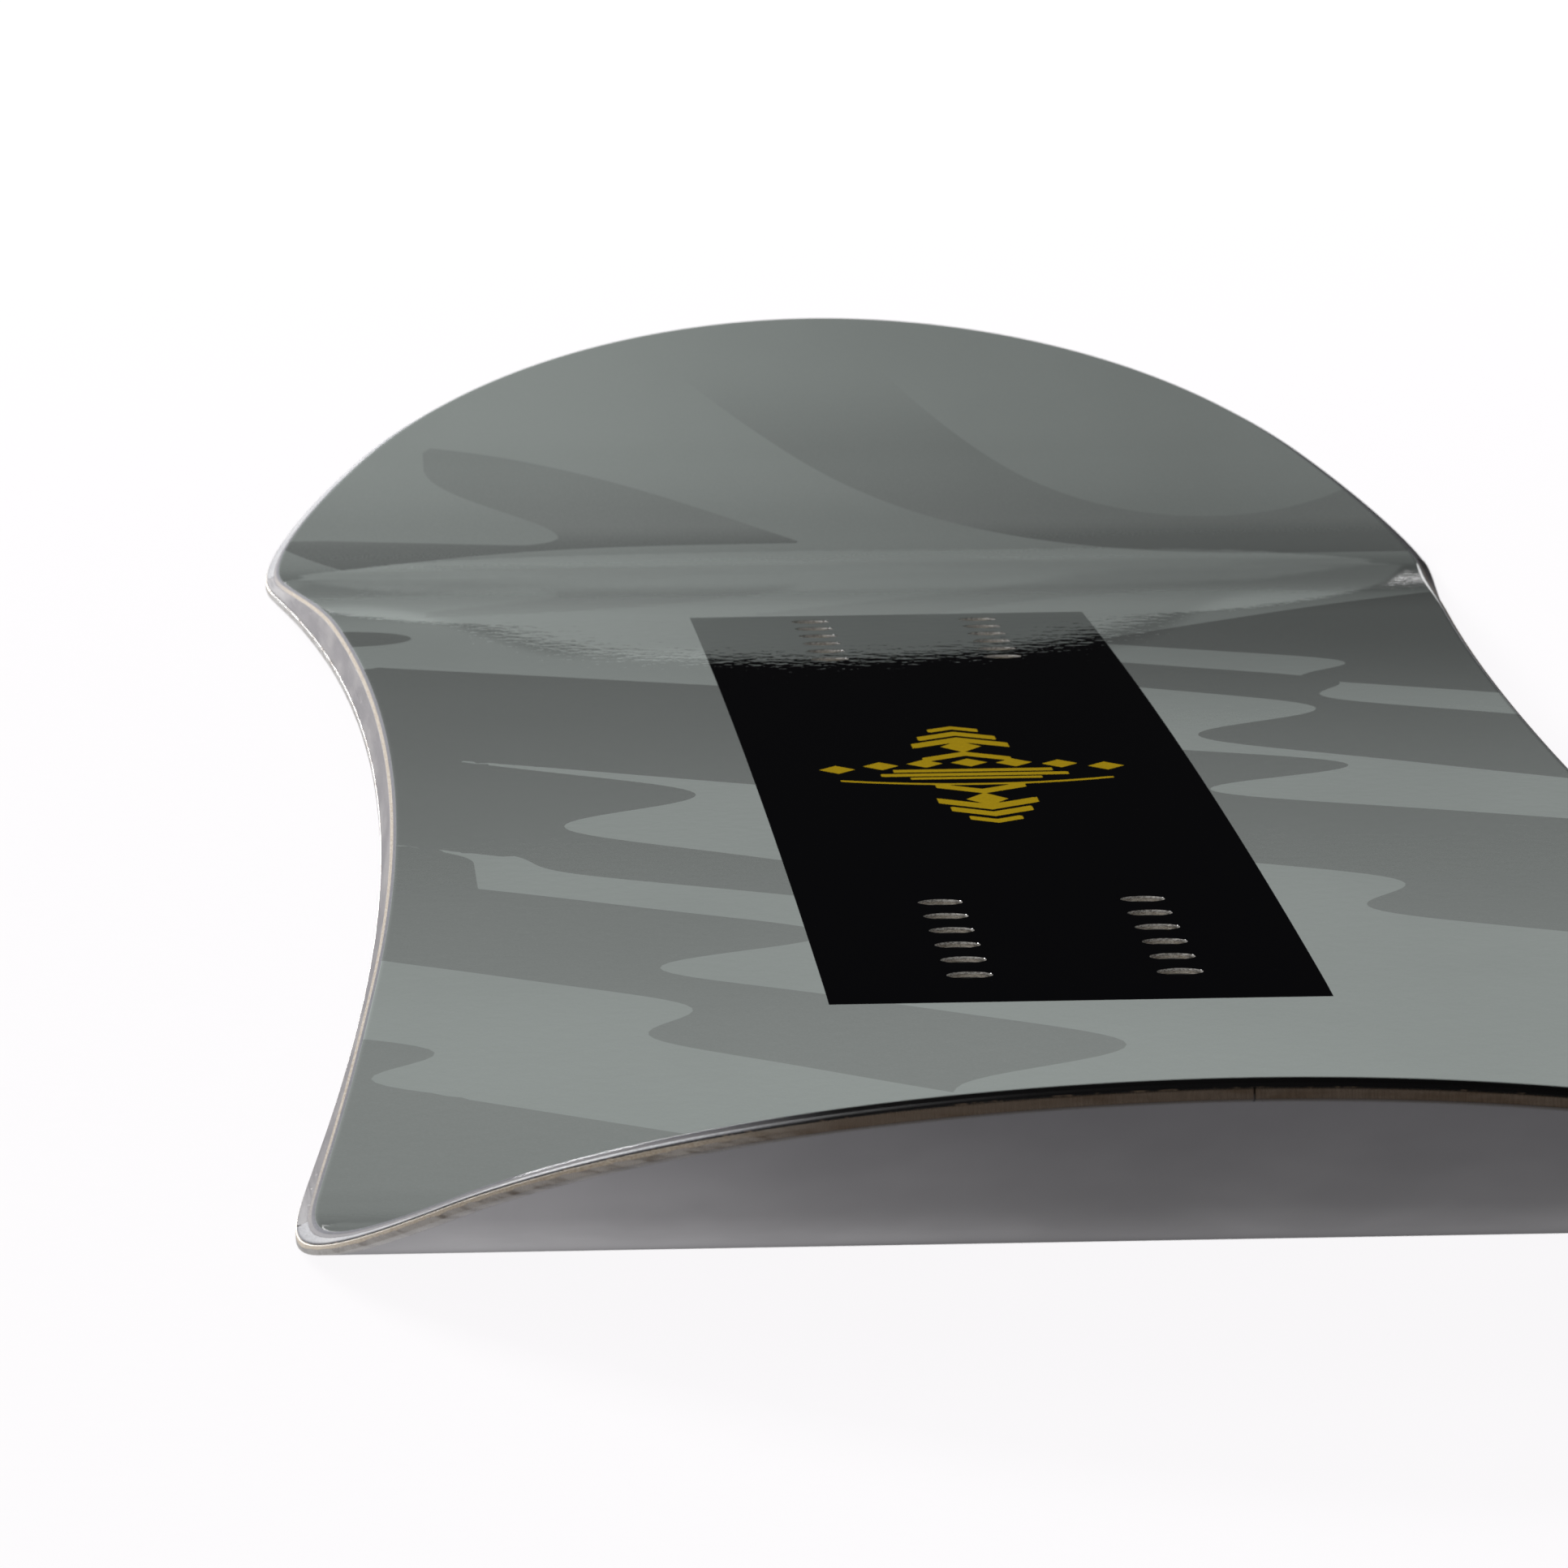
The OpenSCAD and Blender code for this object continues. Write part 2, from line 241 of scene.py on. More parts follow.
class Shape:
    """Points in millimetres with their normals, and the faces between them."""

    def __init__(self):
        self.points = []
        self.normals = []
        self.faces = []

    def add(self, points, normals):
        first = len(self.points)
        self.points.extend(np.asarray(points, float).tolist())
        self.normals.extend(np.asarray(normals, float).tolist())
        return np.arange(first, first + len(points))

    def strip(self, low, high, closed=True):
        """Quads between two rows. They face outwards if the rows run counter-clockwise, low below."""
        count = len(low) if closed else len(low) - 1
        for i in range(count):
            j = (i + 1) % len(low)
            self.faces.append((int(low[i]), int(low[j]), int(high[j]), int(high[i])))

    def level(self, plan, outward, height, over_core, out, up):
        """A row at a level. Its normals mix the outward and the upward direction."""
        z = level_z(plan[:, 1], height, over_core)
        side = np.column_stack([outward, np.zeros(len(plan))])
        normals = unit(out * side + up * upward(plan[:, 1], height, over_core))
        return self.add(np.column_stack([plan, z]), normals)

    def rim(self, path, inset, height, over_core, out, up):
        """A row along a path, moved inwards by inset."""
        return self.level(path(inset), unit(path(0) - path(1)), height, over_core, out, up)

    def bore(self, centre, radius, height, over_core, inwards, up):
        """A ring round a hole."""
        turn = np.linspace(0, 2 * math.pi, HOLE_SIDES, endpoint=False)
        radial = np.column_stack([np.cos(turn), np.sin(turn)])
        plan = np.asarray(centre) + radius * radial
        return self.level(plan, -radial, height, over_core, inwards, up)

    def solid_at(self, centres, outer, holes):
        """Which plan points lie inside the outer row and outside the holes' rows."""
        border = np.array([self.points[i][:2] for i in outer])
        keep = np.abs(centres[:, 0]) < width_at(border, centres[:, 1])
        for row in holes:
            ring = np.array([self.points[i][:2] for i in row])
            middle = ring.mean(axis=0)
            radius = np.linalg.norm(ring[0] - middle)
            keep &= np.linalg.norm(centres - middle, axis=1) > radius * 0.98
        return keep

    def fill(self, outer, holes, inner_plan, height, over_core, up):
        """Closes a plate's face with triangles inside the outer row, round the holes."""
        extra = self.level(inner_plan, 0 * inner_plan, height, over_core, 0, up)
        ids = np.concatenate([outer, *holes, extra]).astype(int)
        plan = np.array([self.points[i][:2] for i in ids])
        edges = ring_edges([outer, *holes])
        made = geometry.delaunay_2d_cdt([Vector(p) for p in plan], edges, [], 0, 1e-5)
        source = np.array([s[0] for s in made[3]])
        triangles = source[np.array(made[2])]
        keep = self.solid_at(plan[triangles].mean(axis=1), outer, holes)
        triangles = ids[triangles[keep]]
        if up < 0:
            triangles = triangles[:, ::-1]
        self.faces.extend(map(tuple, triangles.tolist()))


def ring_edges(rows):
    """Edges round each closed row, with the rows' points numbered one after another."""
    edges = []
    first = 0
    for row in rows:
        count = len(row)
        edges += [(first + i, first + (i + 1) % count) for i in range(count)]
        first += count
    return edges


def width_at(row, y):
    """Half width at y of a closed row that is symmetric from left to right."""
    right = row[row[:, 0] >= -1e-6]
    right = right[np.argsort(right[:, 1])]
    return np.interp(y, right[:, 1], right[:, 0], left=0, right=0)


HOLE_MARGIN = 0.6


def grid(step_x, step_y, clear, holes=()):
    """Points on a staggered grid over the board, clear of the row at inset clear and of the holes."""
    y = np.arange(-HALF_L + clear, HALF_L - clear, step_y)
    x = np.arange(-TIP_W / 2, TIP_W / 2, step_x)
    gx, gy = np.meshgrid(x, y)
    gx = gx + (np.arange(len(y)) % 2)[:, None] * step_x / 2
    points = np.column_stack([gx.ravel(), gy.ravel()])
    points = points[np.abs(points[:, 0]) < width_at(loop(clear), points[:, 1])]
    return clear_of_holes(points, holes, 0.35 * step_x)


def clear_of_holes(points, holes, margin):
    for centre in holes:
        away = np.linalg.norm(points - np.asarray(centre), axis=1)
        points = points[away > DECK_HOLE_R + HOLE_MARGIN + margin]
    return points


def plate(rim, bore, holes, top_plan, bottom_plan):
    """A closed layer. rim and bore list its rows from the bottom face to the top, each as
    (inset or radius, height, out, up)."""
    shape = Shape()
    over = 1 if rim[-1][1] > EDGE_TOP else 0
    rows = [shape.rim(loop, inset, height, over, out, up) for inset, height, out, up in rim]
    for low, high in zip(rows, rows[1:]):
        shape.strip(low, high)
    bores = [[shape.bore(c, r, height, over, out, up) for r, height, out, up in bore] for c in holes]
    for rings in bores:
        for low, high in zip(rings, rings[1:]):
            shape.strip(high, low)
    shape.fill(rows[-1], [r[-1] for r in bores], top_plan, rim[-1][1], over, 1)
    shape.fill(rows[0], [r[0] for r in bores], bottom_plan, rim[0][1], over, -1)
    return shape


def beam(path, section):
    """A bar along an open path. section goes round it from the bottom outwards, each corner as
    (inset, height, over_core, out, up)."""
    shape = Shape()
    rows = [shape.rim(path, *corner) for corner in section]
    for low, high in zip(rows, rows[1:] + rows[:1]):
        shape.strip(low, high, closed=False)
    shape.faces.append(tuple(int(r[0]) for r in rows))
    shape.faces.append(tuple(int(r[-1]) for r in rows[::-1]))
    return shape


def prism(shape, plan, low, high):
    """Adds a closed block with a convex or T-shaped plan, counter-clockwise. low and high are the
    levels of its faces, each as (height, over_core)."""
    plan = np.asarray(plan, float)
    outward = unit(plan - plan.mean(axis=0))
    bottom = shape.level(plan, outward, *low, 1, -0.6)
    top = shape.level(plan, outward, *high, 1, 0.6)
    shape.strip(bottom, top)
    shape.faces.append(tuple(int(i) for i in bottom[::-1]))
    shape.faces.append(tuple(int(i) for i in top))


def piece(name, shape, material, nodes, fields=None):
    """Makes a mesh object from a shape, with its fields as attributes, and puts it in the frame."""
    mesh = bpy.data.meshes.new(name)
    points = np.array(shape.points) * MM
    mesh.from_pydata(points.tolist(), [], shape.faces)
    mesh.shade_smooth()
    mesh.normals_split_custom_set_from_vertices(shape.normals)
    for key, values in (fields or {}).items():
        made = mesh.attributes.new(key, "FLOAT", "POINT")
        made.data.foreach_set("value", np.asarray(values, np.float32))
    mesh.materials.append(material)
    made = bpy.data.objects.new(name, mesh)
    bpy.context.scene.collection.objects.link(made)
    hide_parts(*nodes)
    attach(made, "root")


# ------------------------ the print

# Two tones of camouflage. Each border is a leaning wave that runs down the board, with s the distance
# from the middle towards the tail: x at s = 0, lean, swing, wavelength and the wave's start in turns.
WAVE_SKEW = -0.45
# Each light lobe lies right of its first wave and left of its second, below a top y.
LIGHT_LOBES = (
    ((175, 0.61, 15, 136, 0.54), (205, 0.61, 18, 133, 0.90), 900),
    ((41, 0.61, 31, 150, 0.26), (93, 0.36, 26, 186, -0.11), 900),
    ((-103, 0.35, 25, 183, 0.08), (-83, 0.66, 19, 146, -0.07), 28),
    ((-164, 0.35, 25, 139, 0.39), (-240, 0.88, 8, 107, 0.0), -126),
    ((-533, 0.96, 22, 116, 0.87), (-272, 0.51, 13, 110, 0.05), -295),
    ((-330, 0.61, 22, 150, 0.2), (-300, 0.66, 19, 146, 0.1), -470),
)
FAR_LIGHT_Y = 262
COVE_X = -110.5
COVE_Y = -160
RIM_SPOT = (-133, 301, 17, 21)


def wave(border, y):
    start, lean, swing, length, turn = border
    angle = 2 * math.pi * (-y / length + turn)
    return start - lean * y + swing * np.sin(angle + WAVE_SKEW * np.sin(angle))


def camouflage(x, y):
    """Distance into the light tone in millimetres; it is below 0 in the dark tone."""
    light = np.full_like(x, -50.0)
    for left, right, top in LIGHT_LOBES:
        lobe = np.minimum(x - wave(left, y), wave(right, y) - x)
        light = np.maximum(light, np.minimum(lobe, top - y))
    far_low = FAR_LIGHT_Y + 1.45 * np.clip(x - 40, 0, None) - 1.2 * np.clip(-95 - x, 0, None)
    light = np.maximum(light, y - far_low)
    cove = x - COVE_X + 0.017 * np.clip(y - COVE_Y, 0, None) ** 2
    light = np.where(np.abs(y - COVE_Y) < 50, np.minimum(light, cove), light)
    tail_line = x + 117.2 + 1.06 * (y + 455)
    patch = np.minimum(tail_line, wave(LIGHT_LOBES[4][0], y) + 5 - x)
    light = np.maximum(light, np.minimum(patch, -450 - y))
    wedge = np.minimum(-129 - 1.055 * (x + 124.8) - y, -100 - x)
    light = np.maximum(light, np.minimum(wedge, np.where(y > COVE_Y, cove, -50)))
    spot_x, spot_y, reach_x, reach_y = RIM_SPOT
    away = np.hypot((x - spot_x) / reach_x, (y - spot_y) / reach_y)
    return np.minimum(light, (away - 1) * reach_x)


# The nose's left swoosh runs left from its tip, and a light bay cuts into it from the left.
SWOOSH_TIP_X = -9
SWOOSH_TIP_Y = 597
SWOOSH_RUN = 120
BAY_END_X = -73
BAY_END_Y = 608


def left_swoosh(x, y):
    reach = np.clip(SWOOSH_TIP_X - x, 0, None)
    dip = 0.5 - 32.5 * np.clip(reach / SWOOSH_RUN, 0, 1) ** 3.4
    low = SWOOSH_TIP_Y + dip + 2.2 * np.clip(reach - SWOOSH_RUN, 0, None)
    high = SWOOSH_TIP_Y + 1.7 * reach * np.exp(-reach / 140)
    inside = np.minimum(np.minimum(y - low, high - y), SWOOSH_TIP_X - x)
    above = 34 * ease((y - BAY_END_Y) / 58)
    bay_x = BAY_END_X - above - 0.11 * np.clip(BAY_END_Y - y, 0, None) ** 2
    bay_y = 600 + 0.17 * np.clip(-84 - x, 0, 50)
    return np.minimum(inside, np.maximum(x - bay_x, bay_y - y))


def right_swoosh(x, y):
    low = 572 + 88 * (np.clip(118 - x, 0, 400) / 120) ** 2.1
    high = 620 + 40 * ((98 - x) / 50) ** 2
    return np.minimum(y - low, high - y)


def nose_swoosh(x, y):
    """Distance into the dark swooshes on the nose."""
    return np.maximum(left_swoosh(x, y), right_swoosh(x, y))


def swoosh_depth(y):
    """How dark the swooshes are: full at the foot of the nose, then fading out towards its end."""
    fade = 0.6 * ease((y - 600) / 70) + 0.4 * ease((y - 670) / 60)
    return np.where(y > 450, 1 - fade, 0)


# The ornament in the panel's middle, a plain one of chevrons, diamonds and bars.
ORNAMENT_X = -1.0
ORNAMENT_Y = -19.0
ORNAMENT_HALF = (36.0, 112.0)


def ornament(x, y):
    """Distance into the ornament. It has two end marks, an arc of diamonds and bars between them."""
    u = x - ORNAMENT_X
    v = y - ORNAMENT_Y
    parts = [end_mark(u, v - 26), end_mark(u, -v - 24)]
    for i in range(-3, 4):
        bow = 19 - 1.1 * i * i
        parts.append(2.4 * (1 - np.abs(u - 9.6 * i) / 3.9 - np.abs(v - bow) / 7.5))
    parts.append(np.minimum(17 - np.abs(u), 2.6 - np.abs(v - 4.5)))
    parts.append(np.minimum(20 - np.abs(u), 2.6 - np.abs(v + 3.0)))
    parts.append(np.minimum(14 - np.abs(u), 1.9 - np.abs(v + 9.5)))
    bowl = v + 21 - 0.011 * u * u
    parts.append(np.minimum(29 - np.abs(u), 1.5 - np.abs(bowl)))
    return np.maximum.reduce(parts)


def end_mark(u, v):
    """Nested chevrons that point outwards from a diamond."""
    parts = [3.6 * (1 - np.abs(u) / 4.4 - np.abs(v - 24) / 11)]
    for start, reach, thick in ((6, 9.5, 4.0), (34, 10.5, 4.5), (46, 8.5, 4.0), (58, 5.5, 3.2)):
        lean = v - start + 1.15 * np.abs(u) - 4
        parts.append(np.minimum(reach - np.abs(u), (thick - np.abs(lean)) * 0.65))
    return np.maximum.reduce(parts)


# ------------------------ materials


class Graph:
    """A node tree, with one short call for each node."""

    def __init__(self, tree):
        self.tree = tree

    def feed(self, socket, value):
        if isinstance(value, bpy.types.NodeSocket):
            self.tree.links.new(value, socket)
        elif isinstance(value, tuple) and len(value) == 3 and socket.type == "RGBA":
            socket.default_value = (*value, 1)
        else:
            socket.default_value = value

    def node(self, kind, inputs=None, **settings):
        made = self.tree.nodes.new(kind)
        for key, value in settings.items():
            setattr(made, key, value)
        for key, value in (inputs or {}).items():
            self.feed(made.inputs[key], value)
        return made

    def vector(self, operation, a, b):
        return self.node("ShaderNodeVectorMath", {0: a, 1: b}, operation=operation).outputs[0]

    def math(self, operation, a, b=0.0):
        return self.node("ShaderNodeMath", {0: a, 1: b}, operation=operation).outputs[0]

    def times(self, a, b):
        return self.math("MULTIPLY", a, b)

    def plus(self, a, b):
        return self.math("ADD", a, b)

    def minus(self, a, b):
        return self.math("SUBTRACT", a, b)

    def absolute(self, a):
        return self.math("ABSOLUTE", a)

    def flip(self, share):
        return self.minus(1.0, share)

    def band(self, value, low, high, to_low=0.0, to_high=1.0):
        """A smooth step of value from to_low at low to to_high at high."""
        inputs = {0: value, 1: low, 2: high, 3: to_low, 4: to_high}
        made = self.node("ShaderNodeMapRange", inputs, interpolation_type="SMOOTHSTEP")
        return made.outputs[0]

    def mix(self, factor, a, b):
        made = self.node("ShaderNodeMix", data_type="RGBA")
        self.feed(made.inputs[0], factor)
        self.feed(made.inputs[6], a)
        self.feed(made.inputs[7], b)
        return made.outputs[2]

    def choose(self, share, low, high):
        """A number between low, where share is 0, and high, where it is 1."""
        return self.node("ShaderNodeMix", {0: share, 2: low, 3: high}).outputs[0]

    def seen(self):
        """1 for what the camera sees directly, and 0 for what lights or mirrors it."""
        return self.node("ShaderNodeLightPath").outputs["Is Camera Ray"]


class Surface(Graph):
    """A material's node tree. Lengths in it are millimetres."""

    def __init__(self, name):
        self.material = bpy.data.materials.new(name)
        self.material.use_nodes = True
        super().__init__(self.material.node_tree)
        self.shader = next(n for n in self.tree.nodes if n.type == "BSDF_PRINCIPLED")
        here = self.node("ShaderNodeTexCoord").outputs["Object"]
        self.place = self.vector("MULTIPLY", here, (1 / MM, 1 / MM, 1 / MM))
        self.x, self.y = self.node("ShaderNodeSeparateXYZ", {0: self.place}).outputs[:2]
        self.side = self.absolute(self.x)
        self.along = self.absolute(self.y)

    def noise(self, size, detail=2.0, rough=0.5, seed=0.0):
        """Noise with features of size (x, y, z) millimetres, about 0.5 on average."""
        at = self.vector("MULTIPLY", self.place, tuple(1 / s for s in size))
        at = self.vector("ADD", at, (seed, seed, seed))
        inputs = {"Vector": at, "Scale": 1.0, "Detail": detail, "Roughness": rough}
        return self.node("ShaderNodeTexNoise", inputs).outputs[0]

    def bump(self, height, distance):
        """Bump of height times distance millimetres."""
        inputs = {"Height": height, "Distance": distance * MM, "Strength": 1.0}
        return self.node("ShaderNodeBump", inputs).outputs[0]

    def grazing(self):
        """1 where the surface is seen at a low angle, and 0 where it is seen from above."""
        facing = self.node("ShaderNodeLayerWeight", {0: 0.5}).outputs["Facing"]
        return self.band(facing, 0.52, 0.64)

    def painted_shade_facing_left(self):
        """Painted shade mask: 0.75 where the surface faces left, and 0 elsewhere."""
        normal = self.node("ShaderNodeNewGeometry").outputs["Normal"]
        across = self.node("ShaderNodeSeparateXYZ", {0: normal}).outputs[0]
        return self.band(across, -0.46, -0.28, 0.75, 0.0)

    def field(self, name):
        return self.node("ShaderNodeAttribute", attribute_name=name).outputs["Fac"]

    def finish(self, **inputs):
        """Links the Principled shader's inputs, which are named in lower case with _ for a space."""
        sockets = {socket.name.lower().replace(" ", "_"): socket for socket in self.shader.inputs}
        for key, value in inputs.items():
            self.feed(sockets[key], value)
        return self.material


# Painted shade on a tip's rim, from its middle: black up to the first distance, ground grey beyond the
# second.
RIM_SHADE_SPAN = (62.0, 92.0)
RIM_SHADE_BLACK = (0.012, 0.0115, 0.012)
BEVEL_GREY = (0.23, 0.23, 0.25)
BEVEL_DARK = (0.16, 0.16, 0.172)
BORE_PALE = (0.78, 0.76, 0.72)
BORE_DARK = (0.3, 0.28, 0.26)
# Painted shade for the bore walls that face left.
BORE_SHADE = (0.06, 0.056, 0.052)

LIGHT_TONE = (0.45, 0.492, 0.475)
DARK_TONE_TAIL = (0.34, 0.366, 0.355)
DARK_TONE_NOSE = (0.245, 0.262, 0.255)
INK_PALE = (0.62, 0.66, 0.64)
INK_DARK = (0.18, 0.2, 0.19)
PANEL_BLACK = (0.002, 0.002, 0.0028)
YELLOW = (0.62, 0.42, 0.012)
YELLOW_DARK = (0.52, 0.34, 0.01)

# Past this line the print is painted darker at a low angle, as painted shade. Near the sides the line
# lies further on.
FAR_START = (230, 275)
FAR_LEFT_X = -78.0
FAR_RIGHT_X = 45.0
FAR_SIDE = (52, 160.0)
LIGHT_TONE_FAR_SHADED = (0.285, 0.311, 0.3)
DARK_TONE_FAR_SHADED = (0.182, 0.195, 0.19)

# The deck settles a little over the front mat: where, and by how much.
MAT_STEP_Y = (150.0, 330.0)
MAT_STEP = 0.6

PANEL_X = -1.0
PANEL_HALF_W = 47.3
PANEL_TAIL_Y = -363.8
PANEL_NOSE_Y = 347.3


def rim_painted_shade(g):
    """Painted shade: 1 along the middle of a tip's rim, away from the light, 0 at its corners and
    sides.
    """
    return g.times(g.band(g.along, 640, 700), g.band(g.side, *RIM_SHADE_SPAN, 1.0, 0.0))


def far_painted_shade(g):
    """Painted shade mask: 1 in the far part of the deck, where it is seen at a low angle."""
    left = g.minus(FAR_LEFT_X, g.x)
    right = g.minus(g.x, FAR_RIGHT_X)
    reach, shift = FAR_SIDE
    later = g.band(g.math("MAXIMUM", left, right), 0, reach, 0.0, shift)
    far = g.band(g.minus(g.y, later), *FAR_START)
    return g.times(far, g.grazing())


def camouflage_tone(g):
    """The two tones of the print, painted darker in the far part of the deck as painted shade."""
    shade = g.times(g.band(g.field("swoosh"), -0.2, 0.2), g.field("swoosh_depth"))
    light = g.times(g.band(g.field("camo"), -0.12, 0.12), g.flip(shade))
    # Painted shade: both tones are darkened in the far part of the deck at a low angle.
    far = far_painted_shade(g)
    dark = g.mix(g.band(g.y, -450, 150), DARK_TONE_TAIL, DARK_TONE_NOSE)
    dark = g.mix(g.times(far, g.band(g.y, 596, 622, 1.0, 0.0)), dark, DARK_TONE_FAR_SHADED)
    pale = g.mix(g.times(far, g.band(g.y, 615, 690, 1.0, 0.0)), LIGHT_TONE, LIGHT_TONE_FAR_SHADED)
    return g.mix(light, dark, pale)


def panel_distance(g):
    """Distance beyond the black panel's border; it is below 0 inside."""
    across = g.absolute(g.minus(g.x, PANEL_X))
    along = g.absolute(g.minus(g.y, (PANEL_TAIL_Y + PANEL_NOSE_Y) / 2))
    across = g.minus(across, PANEL_HALF_W)
    along = g.minus(along, (PANEL_NOSE_Y - PANEL_TAIL_Y) / 2)
    return g.math("MAXIMUM", across, along)


def printed_tone(g, dots, outside):
    """Camouflage with print dots and clouds, painted shade towards the nose and the right, then the
    black panel and the yellow ornament over it.
    """
    cloud = g.noise((60, 160, 60), 3.0)
    tone = g.mix(g.band(dots, 0.3, 0.9, 0.0, 0.12), camouflage_tone(g), INK_PALE)
    tone = g.mix(g.band(cloud, 0.35, 0.75, 0.0, 0.08), tone, INK_DARK)
    # Painted shade: the print is darkened towards the nose and towards the right.
    fade = g.times(g.band(g.y, -60, 330), g.band(g.x, -140, 120, 0.03, 0.36))
    tone = g.mix(fade, tone, (0.0, 0.0, 0.0))
    tone = g.mix(g.band(outside, -0.08, 0.08), PANEL_BLACK, tone)
    gold = g.mix(g.band(dots, 0.2, 0.8), YELLOW, YELLOW_DARK)
    return g.mix(g.band(g.field("ornament"), -0.1, 0.1), tone, gold)


def cut_tone(g, outside):
    """The topsheet's cut faces: pale drilled glass in the holes, and a ground bevel round the rim,
    with painted shade on bore walls that face left and in the middle of each tip's rim.
    """
    grain = g.noise((0.6, 0.6, 0.3), 4.0, 0.6)
    bevel = g.mix(g.band(grain, 0.35, 0.7), BEVEL_GREY, BEVEL_DARK)
    drilled = g.mix(g.band(grain, 0.42, 0.6), BORE_PALE, BORE_DARK)
    # Painted shade on the bore walls that face left.
    drilled = g.mix(g.painted_shade_facing_left(), drilled, BORE_SHADE)
    bevel = g.mix(g.band(outside, -4, 4), drilled, bevel)
    # Painted shade: the middle of each tip's rim is painted black.
    return g.mix(rim_painted_shade(g), bevel, RIM_SHADE_BLACK)


def coat_relief(g):
    """Relief of the clear coat: fine ripples, a wide sag, and the step over the front mat."""
    ripple = g.times(g.noise((3.4, 6, 8), 2.0, 0.5, 2.0), 0.032)
    sag = g.times(g.noise((26, 60, 30), 1.0, 0.5, 5.0), 0.025)
    step = g.band(g.y, *MAT_STEP_Y, 0.0, -MAT_STEP)
    return g.bump(g.plus(g.plus(ripple, sag), step), 1.0)


def topsheet_material():
    """Printed topsheet under a clear coat, with scuffs and dust, and bare where it is cut."""
    g = Surface("topsheet")
    dots = g.noise((0.5, 0.5, 0.5), 1.0)
    cut = g.field("cut")
    outside = panel_distance(g)
    scuffs = g.band(g.noise((0.35, 14, 3), 3.0, 0.6, 4.0), 0.66, 0.74)
    dust = g.band(g.noise((0.7, 0.7, 0.7), 0.0, 0.5, 9.0), 0.8, 0.86)
    rough = g.plus(0.32, g.times(scuffs, 0.2))
    return g.finish(
        base_color=g.mix(g.band(cut, 0.4, 0.6), printed_tone(g, dots, outside), cut_tone(g, outside)),
        roughness=g.plus(rough, g.times(dust, 0.2)),
        normal=g.bump(dots, 0.004),
        ior=1.0,
        coat_weight=g.band(cut, 0.2, 0.5, 1.0, g.band(outside, -4, 4, 0.0, 0.06)),
        coat_roughness=g.plus(0.012, g.times(scuffs, 0.05)),
        coat_ior=1.5,
        coat_normal=coat_relief(g),
    )


def laminate_material():
    """Sawn glass laminate: cream fibres in resin with brown lines, and ground grey at the tips, with
    painted shade on bore walls that face left and in the middle of each tip's rim.
    """
    g = Surface("laminate")
    fibres = g.noise((1.4, 2.2, 0.16), 4.0, 0.65)
    flecks = g.noise((0.3, 0.4, 0.2), 3.0, 0.7, 3.0)
    tone = g.mix(g.band(fibres, 0.38, 0.6), (0.5, 0.44, 0.36), (0.86, 0.82, 0.74))
    tone = g.mix(g.band(flecks, 0.52, 0.66, 0.0, 0.8), tone, (0.2, 0.14, 0.1))
    # Painted shade on the bore walls that face left, near the holes.
    bore = g.band(g.side, 80, 100, 1.0, 0.0)
    tone = g.mix(g.times(bore, g.painted_shade_facing_left()), tone, BORE_SHADE)
    tone = g.mix(g.band(g.side, 40, 60, 0.0, 0.6), tone, (0.2, 0.16, 0.13))
    tone = g.mix(g.band(g.along, 480, 590, 0.0, 0.85), tone, BEVEL_GREY)
    # Painted shade: the middle of each tip's rim is painted black.
    tone = g.mix(rim_painted_shade(g), tone, RIM_SHADE_BLACK)
    rough = g.band(fibres, 0.3, 0.7, 0.6, 0.8)
    bump = g.bump(g.plus(fibres, flecks), 0.06)
    return g.finish(base_color=tone, roughness=rough, normal=bump, ior=1.04)


def sidewall_material():
    """Black ABS that was planed along the board: satin, with fine lines, nicks and white dust; its
    grey tones are partly painted reflection of the bright studio.
    """
    g = Surface("sidewall")
    lines = g.noise((1.2, 40, 0.16), 4.0, 0.65)
    patches = g.noise((20, 60, 6), 3.0, 0.5, 6.0)
    nicks = g.band(g.noise((1.5, 2.2, 0.8), 2.0, 0.6, 8.0), 0.68, 0.74)
    # Grey rather than black: partly painted reflection of the bright studio at a low angle.
    tone = g.mix(g.band(lines, 0.3, 0.75), (0.125, 0.118, 0.127), (0.19, 0.18, 0.191))
    tone = g.mix(g.band(patches, 0.4, 0.7, 0.0, 0.5), tone, (0.29, 0.275, 0.275))
    tone = g.mix(nicks, tone, (0.4, 0.39, 0.385))
    rough = g.plus(g.band(lines, 0.3, 0.7, 0.34, 0.5), g.times(nicks, 0.3))
    height = g.plus(lines, g.times(nicks, -1.5))
    return g.finish(base_color=tone, roughness=rough, normal=g.bump(height, 0.02), ior=1.1)


def spacer_material():
    """Tip filler, ground to a grey-blue bevel with grinding marks across it, and painted black as
    painted shade in the middle of its rim.
    """
    g = Surface("tip_spacer")
    marks = g.noise((0.5, 0.5, 0.25), 4.0, 0.6)
    cloud = g.noise((30, 30, 6), 2.0, 0.5, 5.0)
    tone = g.mix(g.band(marks, 0.35, 0.7), (0.22, 0.22, 0.24), (0.12, 0.12, 0.13))
    tone = g.mix(g.band(cloud, 0.45, 0.7, 0.0, 0.5), tone, (0.3, 0.295, 0.3))
    # Painted shade: the middle of each tip's rim is painted black.
    tone = g.mix(rim_painted_shade(g), tone, RIM_SHADE_BLACK)
    rough = g.band(marks, 0.3, 0.7, 0.4, 0.55)
    return g.finish(base_color=tone, roughness=rough, normal=g.bump(marks, 0.02), ior=1.08)


